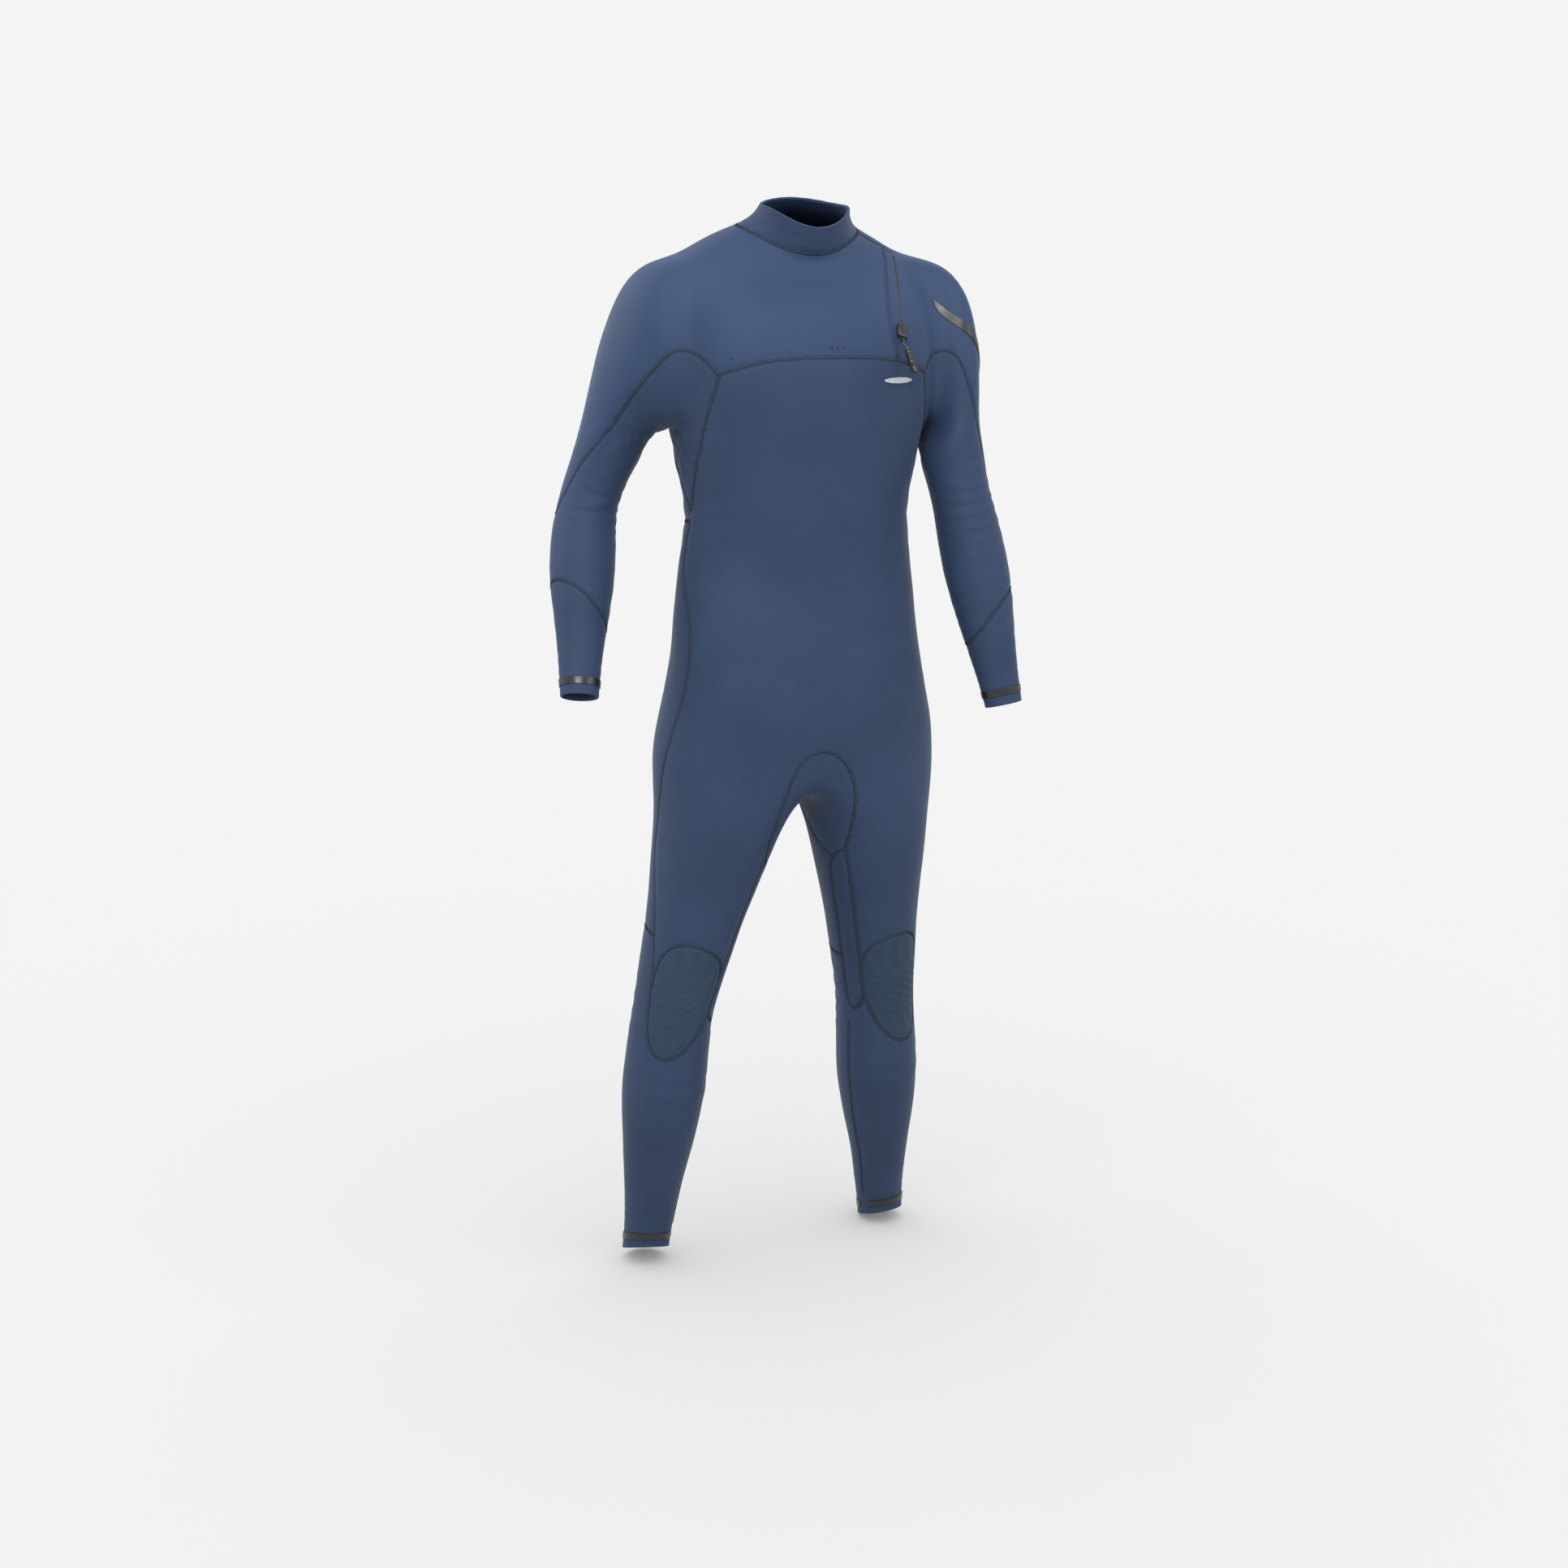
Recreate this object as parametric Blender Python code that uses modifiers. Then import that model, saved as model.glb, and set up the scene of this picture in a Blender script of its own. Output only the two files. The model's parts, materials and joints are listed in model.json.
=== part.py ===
"""Chest-zip full wetsuit, held in the shape of the body that wears it.

Metres, +Z up. The suit faces -Y, so the wearer's left is +X. Its ankle hems are at z = 0.
The sewn outside is one smooth surface: a cage of rings under a Subdivision Surface. Each seam
is the zero line of a scalar field on that surface. The surface is cut there, and each region
between seams becomes one neoprene panel, with a hairline gap to its neighbours.
"""

import math

import bmesh
import bpy
import numpy as np
from mathutils import Matrix, Quaternion, Vector
from mathutils.bvhtree import BVHTree

# ---------------------------------------------------------------- driving dimensions
SUIT = "wetsuit"
FOAM = 0.003          # neoprene with jersey on both faces
SEAM_GAP = 0.0003     # clearance at every seam
ZIP_GAP = 0.0056      # slot the zip chain runs in
TRIM = (0.0003, 0.0011)   # under and upper face of a bonded trim, above the jersey
EDGE = 0.015          # panel edges shorter than this are merged

COLUMNS = 16          # cage columns round the torso
ARM_COLUMNS = 12      # the armhole's edge
LEG_COLUMNS = 12      # half the torso, and the crotch

# Torso rings, bottom to top: height at side, front and back; half width; depth to front and
# to back; y of the centre; squareness of the section, where 2 is an ellipse.
TORSO = (
    (0.680, 0.658, 0.645, 0.197, 0.100, 0.118, 0.000, 2.2),
    (0.740, 0.730, 0.730, 0.181, 0.108, 0.128, -0.006, 2.3),
    (0.808, 0.803, 0.803, 0.167, 0.108, 0.114, -0.005, 2.3),
    (0.872, 0.870, 0.870, 0.163, 0.106, 0.093, 0.002, 2.3),
    (0.933, 0.933, 0.933, 0.156, 0.104, 0.081, 0.001, 2.3),
    (0.987, 0.987, 0.987, 0.147, 0.106, 0.082, -0.005, 2.3),
    (1.028, 1.041, 1.041, 0.154, 0.113, 0.093, -0.003, 2.3),
    (1.064, 1.094, 1.094, 0.161, 0.122, 0.105, -0.002, 2.5),
    (1.106, 1.149, 1.149, 0.164, 0.130, 0.116, -0.005, 2.8),
    (1.174, 1.201, 1.201, 0.166, 0.131, 0.121, -0.008, 3.0),
    (1.244, 1.241, 1.244, 0.166, 0.124, 0.120, -0.005, 2.9),
    (1.281, 1.268, 1.283, 0.165, 0.110, 0.113, 0.006, 2.7),
    (1.320, 1.288, 1.320, 0.152, 0.093, 0.099, 0.015, 2.3),
    (1.346, 1.311, 1.357, 0.110, 0.078, 0.078, 0.010, 2.1),
    (1.357, 1.317, 1.371, 0.078, 0.066, 0.065, -0.007, 2.0),
    (1.369, 1.333, 1.381, 0.063, 0.056, 0.056, -0.025, 2.0),
    (1.383, 1.351, 1.395, 0.058, 0.053, 0.053, -0.037, 2.0),
)
ARMPIT_RING, SHOULDER_RING = 8, 12   # the armhole lies between these rings
COLLAR_RING = 14                     # the collar is sewn on here
CROTCH = ((-0.055, 0.640), (0.005, 0.632), (0.062, 0.640))   # y, z from front to back

# Limb paths: shoulder, elbow, wrist and hip, knee, ankle.
ARM_PATHS = {
    "left": ((0.165, -0.015, 1.267), (0.2125, -0.073, 0.984), (0.250, -0.122, 0.733)),
    "right": ((-0.164, 0.020, 1.261), (-0.262, 0.088, 0.999), (-0.299, -0.010, 0.761)),
}
LEG_PATHS = {
    "left": ((0.098, -0.006, 0.640), (0.121, 0.008, 0.318), (0.150, 0.056, 0.006)),
    "right": ((-0.095, 0.003, 0.640), (-0.174, 0.008, 0.321), (-0.204, 0.034, -0.006)),
}
# Rings that fan round each armpit: outermost point, point in the armpit, half depth, squareness.
SHOULDER_FANS = {
    "left": (
        ((0.207, -0.020, 1.312), (0.173, -0.018, 1.098), 0.079, 3.0),
        ((0.232, -0.032, 1.228), (0.169, -0.030, 1.088), 0.071, 2.5),
        ((0.233, -0.045, 1.162), (0.165, -0.042, 1.078), 0.062, 2.2),
        ((0.232, -0.055, 1.112), (0.160, -0.052, 1.068), 0.054, 2.0),
    ),
    "right": (
        ((-0.207, 0.023, 1.309), (-0.179, 0.012, 1.100), 0.082, 3.0),
        ((-0.242, 0.035, 1.234), (-0.181, 0.026, 1.096), 0.074, 2.5),
        ((-0.256, 0.048, 1.174), (-0.183, 0.040, 1.093), 0.064, 2.2),
        ((-0.266, 0.060, 1.124), (-0.187, 0.054, 1.078), 0.054, 2.0),
    ),
}
# Limb rings: distance along the path, half width across the body, half depth front to back.
ARM_RINGS = (
    (0.219, 0.0405, 0.046),
    (0.269, 0.0375, 0.042),
    (0.314, 0.041, 0.044),
    (0.364, 0.044, 0.043),
    (0.414, 0.0405, 0.037),
    (0.464, 0.0325, 0.0295),
    (0.514, 0.027, 0.024),
    (0.547, 0.025, 0.0225),
)
LEG_RINGS = (
    (0.060, 0.083, 0.091),
    (0.120, 0.075, 0.083),
    (0.180, 0.0645, 0.074),
    (0.240, 0.059, 0.067),
    (0.290, 0.0545, 0.0615),
    (0.335, 0.0525, 0.0585),
    (0.390, 0.0545, 0.0595),
    (0.440, 0.0555, 0.0635),
    (0.490, 0.050, 0.057),
    (0.545, 0.0415, 0.046),
    (0.600, 0.035, 0.038),
    (0.640, 0.032, 0.0355),
    (0.668, 0.0315, 0.036),
)
ROUNDING = 0.035      # how far each side of a joint a limb path is rounded

# Seams. Torso angles are degrees from the front, limb angles degrees from outward by way of
# the back. Heights and distances along a limb are metres.
CHEST_SEAM = ((0, 1.194), (16, 1.194), (32, 1.191), (40, 1.187), (47, 1.180), (53, 1.170))
FRONT_ARMPIT = ((53, 1.170), (57, 1.184), (61, 1.196), (65, 1.202), (70, 1.204), (85, 1.212))
BACK_ARMPIT = ((95, 1.212), (110, 1.206), (118, 1.196), (124, 1.181), (128, 1.166))
BACK_SEAM = ((128, 1.166), (140, 1.171), (160, 1.165), (180, 1.160))
SIDE_SEAM = (
    (0.629, 86), (0.674, 83), (0.704, 80), (0.739, 77), (0.778, 75), (0.817, 75), (0.846, 76),
    (0.878, 80), (0.901, 85), (0.930, 88), (0.960, 87), (0.988, 84), (1.032, 77), (1.067, 70),
    (1.102, 64), (1.131, 59), (1.155, 55), (1.170, 53),
)
UNDERARM_BACK = ((0.985, 84.5), (1.020, 89), (1.060, 96), (1.100, 105), (1.140, 117), (1.166, 128))
TONGUE = (
    (0.05, 97), (0.080, 91), (0.110, 86), (0.167, 77), (0.206, 60), (0.240, 43), (0.283, 28), (0.315, 0),
)
TONGUE_MIDDLE = 10
ELBOW_ZONE = (0.225, 0.365)
FOREARM_SEAM = (0.429, 0.032)        # middle, and how far it tilts each way
WRIST_BAND = (0.526, 0.535)
ZIP_PLANE = (-0.0099, 0.180, 0.1064) # the plane of the entry zip: x = first + second * y + third * z
ZIP_AXIS = (0.040, 1.190)            # y, z that the zip line's angles turn about
SHOULDER_LINE = 66                   # where the entry slit crosses the left shoulder
ZIP_SLOT = (7, 63)
CHAIN = (8, 59)
SLIDER_TRAVEL = (12, 29, 54)        # lowest, a point between, highest
RAGLAN = (0.030, 0.45, 0.060)        # y at the collar, its slope, x at the collar
LEG_SIDE = (
    (0.0, -14), (0.05, -6), (0.1, 3), (0.15, -5), (0.178, -13), (0.221, -21), (0.255, -28), (0.29, -31),
    (0.33, -32),
)
INNER_FRONT = ((0.0, 243), (0.04, 239), (0.087, 231.5), (0.2, 230), (0.27, 231.5), (0.35, 236))
INNER_BACK = 203
KNEE_TOP = 0.31
BEHIND_KNEE = (0.236, 0.017)         # middle, and how far it tilts each way
KNEE_ZONE_END = 0.410
PAD = (
    (232, 0.262), (238, 0.241), (252, 0.227), (272, 0.220), (292, 0.219), (308, 0.226),
    (320, 0.240), (327, 0.262), (328, 0.290), (328, 0.315), (326, 0.338), (319, 0.359),
    (306, 0.374), (290, 0.377), (272, 0.369), (256, 0.352), (243, 0.332), (235, 0.312), (231, 0.288),
)
ANKLE_BAND = (0.646, 0.656)
HEM_SLANT = (24, 0.57, 0.08)         # degrees the ankle hems drop at the back, from where, over what length
GUSSET_REAR = ((0.0, 135), (0.03, 152), (0.06, 172), (0.085, 190), (0.108, 206))
SEAT_SEAM = (0.900, 0.55)            # height at the middle, and how fast it rises sideways
LABEL = (24, 46, 1.160, 1.168)       # angles and heights of the plain chest label
# Angles, start, rise per degree, half width, and the height it stays below.
STRIPE = (268, 335, 0.0176, 0.00168, 0.0078, 1.3)
HOLES = ((0.0, 1.204), (0.008, 1.204), (0.016, 1.204), (-0.126, 1.192), (0.126, 1.192))
HOLE_RADIUS = 0.00125

COLOURS = {
    "jersey": ((0.036, 0.060, 0.105), 0.62),
    "knee": ((0.034, 0.066, 0.090), 0.70),
    "band": ((0.020, 0.021, 0.022), 0.30),
    "silver": ((0.45, 0.46, 0.48), 0.45),
    "tape": ((0.030, 0.030, 0.036), 0.80),
    "zip": ((0.060, 0.050, 0.042), 0.45),
    "plastic": ((0.012, 0.012, 0.013), 0.38),
    "cord": ((0.030, 0.032, 0.038), 0.75),
}


# ---------------------------------------------------------------- the body form
def limit(columns):
    """How far a ring of cage points stands outside the smooth ring it makes."""
    return 3 / (2 + math.cos(2 * math.pi / columns))


def power(value, exponent):
    return math.copysign(abs(value) ** exponent, value)


def torso_point(ring, angle):
    """A cage point. Angle 0 is the front, 90 degrees the wearer's left."""
    side, front, back, width, to_front, to_back, centre, square = ring
    across, along = math.sin(angle), math.cos(angle)
    depth = to_front if along > 0 else to_back
    height = side + ((front if along > 0 else back) - side) * along * along
    grow = limit(COLUMNS)
    x = grow * width * power(across, 2 / square)
    y = centre - grow * depth * power(along, 2 / square)
    return Vector((x, y, height))


def on_path(path, distance):
    """The point this far along a path of straight runs, going on past both ends."""
    points = [Vector(p) for p in path]
    for i in range(len(points) - 1):
        run = points[i + 1] - points[i]
        if distance <= run.length or i == len(points) - 2:
            return points[i] + run * (distance / run.length)
        distance -= run.length


def rounded(path, distance):
    """The same, with the corners rounded off."""
    shares = ((-1, 0.25), (0, 0.5), (1, 0.25))
    return sum((on_path(path, distance + step * ROUNDING) * share for step, share in shares), Vector())


def limb_frame(path, distance):
    """Centre, outward and backward unit vectors of the section at this distance along a limb."""
    centre = rounded(path, distance)
    down = (rounded(path, distance + 0.01) - rounded(path, distance - 0.01)).normalized()
    if path in LEG_PATHS.values():
        share = min(max((distance - HEM_SLANT[1]) / HEM_SLANT[2], 0), 1)
        turn = math.radians(HEM_SLANT[0]) * share * share * (3 - 2 * share)
        down.rotate(Quaternion((1, 0, 0), -turn))
    back = (Vector((0, 1, 0)) - down * down.y).normalized()
    out = back.cross(down).normalized()
    if out.x * path[0][0] < 0:
        out = -out
    return centre, out, back


def limb_ring(path, ring, columns, start):
    """Cage points round a limb. Angle 0 is outward and 90 degrees is the back."""
    distance, width, depth = ring
    return ring_points(*limb_frame(path, distance), width, depth, columns, start)


def fan_ring(outer, inner, depth, square, columns):
    outer, inner = Vector(outer), Vector(inner)
    out = (outer - inner) / 2
    back = (Vector((0, 1, 0)) - out * out.y / out.length_squared).normalized()
    return ring_points((outer + inner) / 2, out.normalized(), back, out.length, depth, columns, 0.0, square)


def ring_points(centre, out, back, width, depth, columns, start, square=2.0):
    grow = limit(columns)
    points = []
    for i in range(columns):
        angle = start + 2 * math.pi * i / columns
        across, along = power(math.cos(angle), 2 / square), power(math.sin(angle), 2 / square)
        points.append(centre + grow * (out * width * across + back * depth * along))
    return points


def cage():
    """The whole suit as a coarse cage: (points, faces, the home of each face)."""
    points, faces, homes = [], [], []

    def add(new):
        points.extend(new)
        return list(range(len(points) - len(new), len(points)))

    def band(lower, upper, home, skip=()):
        for k in range(len(lower)):
            if k not in skip:
                after = (k + 1) % len(lower)
                faces.append((lower[k], lower[after], upper[after], upper[k]))
                homes.append(home)

    turn = 2 * math.pi / COLUMNS
    rings = [add([torso_point(ring, turn * k) for k in range(COLUMNS)]) for ring in TORSO]
    for i in range(len(rings) - 1):
        hole = (3, 4, 11, 12) if ARMPIT_RING <= i < SHOULDER_RING else ()
        band(rings[i], rings[i + 1], "collar" if i >= COLLAR_RING else "torso", hole)

    # Each armhole is two columns wide. Its edge is walked from the top towards the back.
    for side, middle, step in (("left", 4, 1), ("right", 12, -1)):
        low, high = ARMPIT_RING, SHOULDER_RING
        walk = [(high, middle), (high, middle + step)]
        walk += [(i, middle + step) for i in range(high - 1, low - 1, -1)]
        walk += [(low, middle), (low, middle - step)]
        walk += [(i, middle - step) for i in range(low + 1, high + 1)]
        first = [rings[i][k % COLUMNS] for i, k in walk]
        made = [fan_ring(*fan, ARM_COLUMNS) for fan in SHOULDER_FANS[side]]
        made += [limb_ring(ARM_PATHS[side], ring, ARM_COLUMNS, 0.0) for ring in ARM_RINGS]
        for new in map(add, made):
            band(*((new, first) if side == "left" else (first, new)), side + " arm")
            first = new

    # The crotch joins the bottom ring front to back, and each leg takes half of that ring.
    crotch = add([Vector((0, y, z)) for y, z in CROTCH])
    half = COLUMNS // 2
    start = -math.pi / 2 - 2 * math.pi / LEG_COLUMNS
    for side in ("left", "right"):
        outside = [rings[0][k if side == "left" else (COLUMNS - k) % COLUMNS] for k in range(half + 1)]
        first = outside + crotch[::-1]
        for ring in LEG_RINGS:
            new = add(limb_ring(LEG_PATHS[side], ring, LEG_COLUMNS, start))
            band(*((new, first) if side == "left" else (first, new)), side + " leg")
            first = new
    return points, faces, homes


HOMES = ("torso", "collar", "left arm", "right arm", "left leg", "right leg")


def body_form(levels):
    """The smooth outside of the suit, open at the neck, wrists and ankles, as a mesh."""
    points, faces, homes = cage()
    mesh = bpy.data.meshes.new("form")
    mesh.from_pydata(points, [], faces)
    mesh.polygons.foreach_set("material_index", [HOMES.index(home) for home in homes])
    helper = bpy.data.objects.new("form", mesh)
    bpy.context.scene.collection.objects.link(helper)
    for _ in HOMES:
        mesh.materials.append(None)
    smooth = helper.modifiers.new("smooth", "SUBSURF")
    smooth.levels = smooth.render_levels = levels
    smooth.boundary_smooth = "PRESERVE_CORNERS"
    graph = bpy.context.evaluated_depsgraph_get()
    made = bpy.data.meshes.new_from_object(helper.evaluated_get(graph))
    bpy.data.objects.remove(helper)
    bpy.data.meshes.remove(mesh)
    return made


# ---------------------------------------------------------------- seam fields
def through(knots, at):
    """A smooth curve through the knots, level beyond its ends."""
    x, y = np.array(knots, float).T
    slope = np.gradient(y, x)
    i = np.clip(np.searchsorted(x, at) - 1, 0, len(x) - 2)
    step = x[i + 1] - x[i]
    t = np.clip((at - x[i]) / step, 0, 1)
    start = y[i] * (1 + 2 * t) + step * slope[i] * t
    end = y[i + 1] * (3 - 2 * t) - step * slope[i + 1] * (1 - t)
    return start * (1 - t) ** 2 + end * t**2


def turn_of(angle):
    """An angle in degrees as the nearest turn from zero, -180 to 180."""
    return (angle + 180) % 360 - 180


def torso_chart(points):
    """Degrees from the front, and height."""
    return np.degrees(np.arctan2(points[:, 0], -points[:, 1])), points[:, 2]


def limb_chart(points, path, length=0.72, step=0.004):
    """Distance along a limb, and degrees from outward by way of the back."""
    frames = [limb_frame(path, step * i - 0.06) for i in range(int((length + 0.06) / step))]
    centre, out, back = (np.array([[*frame[k]] for frame in frames]) for k in range(3))
    nearest = ((points[:, None] - centre[None]) ** 2).sum(2).argmin(1)
    offset = points - centre[nearest]
    down = np.cross(out[nearest], back[nearest])
    down *= np.sign(-down[:, 2:])
    along = step * nearest - 0.06 + (offset * down).sum(1)
    angle = np.degrees(np.arctan2((offset * back[nearest]).sum(1), (offset * out[nearest]).sum(1)))
    return along, angle % 360


def inside_outline(u, v, outline, round_steps=6):
    """Signed distance to a smooth closed outline, positive inside."""
    knots = np.array(outline, float)
    before, after, later = np.roll(knots, 1, 0), np.roll(knots, -1, 0), np.roll(knots, -2, 0)
    line = []
    for t in np.arange(round_steps) / round_steps:
        a = -t / 2 + t * t - t**3 / 2
        b = 1 - 2.5 * t * t + 1.5 * t**3
        c = t / 2 + 2 * t * t - 1.5 * t**3
        d = (t**3 - t * t) / 2
        line.append(a * before + b * knots + c * after + d * later)
    line = np.stack(line, 1).reshape(-1, 2)
    ends = np.roll(line, -1, 0)
    distance = np.full(len(u), 9.0)
    crossings = np.zeros(len(u), int)
    for (x0, y0), (x1, y1) in zip(line, ends):
        dx, dy = x1 - x0, y1 - y0
        t = np.clip(((u - x0) * dx + (v - y0) * dy) / (dx * dx + dy * dy), 0, 1)
        distance = np.minimum(distance, np.hypot(u - x0 - t * dx, v - y0 - t * dy))
        crossings += ((y0 > v) != (y1 > v)) & (u < x0 + (v - y0) * dx / (dy if dy else 1e-9))
    return np.where(crossings % 2 == 1, distance, -distance)


def upper_body(points, on_arm):
    """Positive above the chest and back seams, and on the outer sleeves down to the elbows."""
    angle, height = torso_chart(points)
    angle = abs(angle)
    line = np.where(angle < 53, through(CHEST_SEAM, angle), through(FRONT_ARMPIT, angle))
    line = np.where(angle > 90, through(BACK_ARMPIT, angle), line)
    line = np.where(angle > 128, through(BACK_SEAM, angle), line)
    field = height - line
    for side, path in ARM_PATHS.items():
        along, round_arm = limb_chart(points, path)
        tongue = (through(TONGUE, along) - abs(turn_of(round_arm - TONGUE_MIDDLE))) * 0.0009
        tongue = np.minimum(tongue, 0.325 - along)
        field = np.where(on_arm[side], np.maximum(field, tongue), field)
    return field


def underarm(points):
    """Positive on the torso's part of the underarm panels."""
    angle, height = torso_chart(points)
    front, back = through(SIDE_SEAM, height), through(UNDERARM_BACK, height)
    field = np.minimum(abs(angle) - front, back - abs(angle)) * 0.0026
    return np.where(height > 0.96, field, -0.02)


def zip_chart(points):
    """Degrees up from the front about the zip's axis."""
    return np.degrees(np.arctan2(points[:, 2] - ZIP_AXIS[1], ZIP_AXIS[0] - points[:, 1]))


def zip_x(y, z):
    return ZIP_PLANE[0] + ZIP_PLANE[1] * y + ZIP_PLANE[2] * z


def left_of_zip(points):
    """Positive on the wearer's left of the entry slit, which turns over the shoulder to the collar."""
    angle = zip_chart(points)
    beside = points[:, 0] - zip_x(points[:, 1], points[:, 2])
    behind = np.minimum((angle - SHOULDER_LINE) * 0.0026, points[:, 0] - 0.03)
    return np.maximum(beside, behind)


def behind_raglan(points):
    start, slope, collar = RAGLAN
    return points[:, 1] - start - slope * (abs(points[:, 0]) - collar)


def behind_leg_sides(along, angle):
    """Positive behind the outer and inner seams of a leg, in degrees."""
    outer = turn_of(angle - through(LEG_SIDE, along))
    inner = turn_of(through(INNER_FRONT, along) - angle)
    return np.where(turn_of(angle - 285) > 0, outer, inner)


def front_half(points, legs):
    """Positive in front of the side seams and the inner leg seams."""
    angle, height = torso_chart(points)
    torso = (through(SIDE_SEAM, height) - abs(angle)) * 0.0028
    low = np.clip((0.70 - height) / 0.05, 0, 1)
    low = low * low * (3 - 2 * low)
    leg = np.zeros(len(points))
    for side, (along, round_leg) in legs.items():
        mine = points[:, 0] > 0 if side == "left" else points[:, 0] <= 0
        leg = np.where(mine, -behind_leg_sides(along, round_leg) * 0.0014, leg)
    return torso * (1 - low) + leg * low


def gusset(points, on_leg, legs):
    """Positive on the crotch gusset, with its two wings."""
    x, y, height = points.T
    front = 0.695 - 0.040 * (abs(x) / 0.045) ** 2.5
    rear = 0.672 - 0.035 * (abs(x) / 0.050) ** 2
    field = np.where(y < 0, front, rear) - height
    for side, (along, angle) in legs.items():
        lower = 0.087 + (231 - angle) * 0.00084
        ahead = through(INNER_FRONT, along) - angle
        behind = angle - through(GUSSET_REAR, along)
        wing = np.minimum(np.minimum(ahead, behind) * 0.0013, lower - along)
        field = np.where(on_leg[side], wing, field)
    return np.where(height < 0.72, field, -0.02)


def inner_strip(along, angle):
    lower = 0.087 + (231 - angle) * 0.00084
    sides = np.minimum(angle - INNER_BACK, through(INNER_FRONT, along) - angle) * 0.0011
    ends = np.minimum(along - lower, 0.331 - (angle - 210) * 0.0003 - along)
    return np.minimum(sides, ends)


def lower_leg(along, angle):
    middle, tilt = BEHIND_KNEE
    top = middle - tilt * np.cos(np.radians(angle - 10))
    behind = np.minimum(along - top, behind_leg_sides(along, angle) * 0.0011)
    return np.maximum(along - KNEE_TOP, behind)


# ---------------------------------------------------------------- cutting
class Cloth:
    """The whole surface, with a label on every face."""

    def __init__(self, levels):
        form = body_form(levels)
        self.bm = bmesh.new()
        self.bm.from_mesh(form)
        bpy.data.meshes.remove(form)
        fine = body_form(levels + 2)
        self.fine = BVHTree.FromPolygons([v.co for v in fine.vertices], [p.vertices for p in fine.polygons])
        bpy.data.meshes.remove(fine)
        self.home = {face: HOMES[face.material_index] for face in self.bm.faces}
        self.label = dict(self.home)

    def settle(self, vert):
        vert.co = self.fine.find_nearest(vert.co)[0]

    def facing(self, vert):
        """The direction the surface faces here, evened out over its neighbours."""
        total = self.fine.find_nearest(vert.co)[1] * 2
        for edge in vert.link_edges:
            total += self.fine.find_nearest(vert.co.lerp(edge.other_vert(vert).co, 0.4))[1]
        return total.normalized()

    def on_line(self, vert):
        """Whether this point is already on a seam or a hem."""
        return vert.is_boundary or len({self.label[face] for face in vert.link_faces}) > 1

    def points(self):
        self.bm.verts.index_update()
        return np.array([[*v.co] for v in self.bm.verts])

    def on(self, part):
        """For each side, which points belong to this limb."""
        found = {}
        for side in ("left", "right"):
            home = f"{side} {part}"
            found[side] = np.array([any(self.home[f] == home for f in v.link_faces) for v in self.bm.verts])
        return found

    def split(self, labels, values, name, home=None):
        """Cuts the faces under these labels where the values are zero, and renames the positive side."""
        faces = [f for f in self.bm.faces if self.label[f] in labels and home in (None, self.home[f])]
        verts = list(self.bm.verts)
        value = {vert: float(values[i]) for i, vert in enumerate(verts)}
        edges = list({edge: None for face in faces for edge in face.edges})
        near = {}
        for edge in edges:
            a, b = edge.verts
            if value[a] * value[b] < 0:
                share = value[a] / (value[a] - value[b])
                vert, other, part = (a, b, share) if share < 0.5 else (b, a, 1 - share)
                if part < 0.2 and (vert not in near or part < near[vert][0]):
                    near[vert] = (part, vert.co.lerp(other.co, part))
        for vert, (_, place) in near.items():
            if not self.on_line(vert):
                vert.co = place
                self.settle(vert)
            value[vert] = 0.0
        for edge in edges:
            a, b = edge.verts
            if value[a] * value[b] < 0:
                share = value[a] / (value[a] - value[b])
                _, vert = bmesh.utils.edge_split(edge, a, share)
                value[vert] = 0.0
                if not vert.is_boundary:
                    self.settle(vert)
        for face in faces:
            for piece in self.divide(face, value):
                if sum(value[vert] for vert in piece.verts) > 0:
                    self.label[piece] = name

    def pick(self, labels, fields, base, name, home=None):
        """Marks the part of a panel that lies under a trim: where all of these fields are positive."""
        trim = f"{base}+{name}"
        for i, field in enumerate(fields):
            if i:
                self.split({trim}, -field(self.points()), base, home)
            else:
                self.split(labels, field(self.points()), trim, home)

    def divide(self, face, value):
        """Splits a face between zero points, so that no piece has both signs."""
        loop = list(face.verts)
        count = len(loop)
        signs = {value[vert] > 0 for vert in loop if value[vert]}
        if len(signs) < 2:
            return [face]
        for i in range(count):
            if value[loop[i]]:
                continue
            j = i + 1
            above = value[loop[(i + 1) % count]] > 0
            while value[loop[j % count]] and (value[loop[j % count]] > 0) == above:
                j += 1
            if j - i < 2 or j - i > count - 2 or value[loop[j % count]]:
                continue
            new, _ = bmesh.utils.face_split(face, loop[i], loop[j % count])
            self.home[new], self.label[new] = self.home[face], self.label[face]
            return self.divide(face, value) + self.divide(new, value)
        return [face]

    def absorb_scraps(self, smallest=0.0004):
        """Gives any detached scrap of a panel to the neighbour it shares most edge with."""
        left = set(self.bm.faces)
        while left:
            patch = [left.pop()]
            name = self.label[patch[0]].split("+")[0]
            rim = {}
            for face in patch:
                for edge in face.edges:
                    for other in edge.link_faces:
                        if other in left and self.label[other].split("+")[0] == name:
                            left.discard(other)
                            patch.append(other)
                        elif self.label[other].split("+")[0] != name:
                            beside = self.label[other].split("+")[0]
                            rim[beside] = rim.get(beside, 0) + edge.calc_length()
            if rim and sum(face.calc_area() for face in patch) < smallest:
                for face in patch:
                    self.label[face] = max(rim, key=rim.get)

    def triangulate(self):
        table = [(self.home[face], self.label[face]) for face in self.bm.faces]
        layer = self.bm.faces.layers.int.new("row")
        for row, face in enumerate(self.bm.faces):
            face[layer] = row
        bmesh.ops.triangulate(self.bm, faces=list(self.bm.faces), quad_method="SHORT_EDGE")
        self.home = {face: table[face[layer]][0] for face in self.bm.faces}
        self.label = {face: table[face[layer]][1] for face in self.bm.faces}

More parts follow.
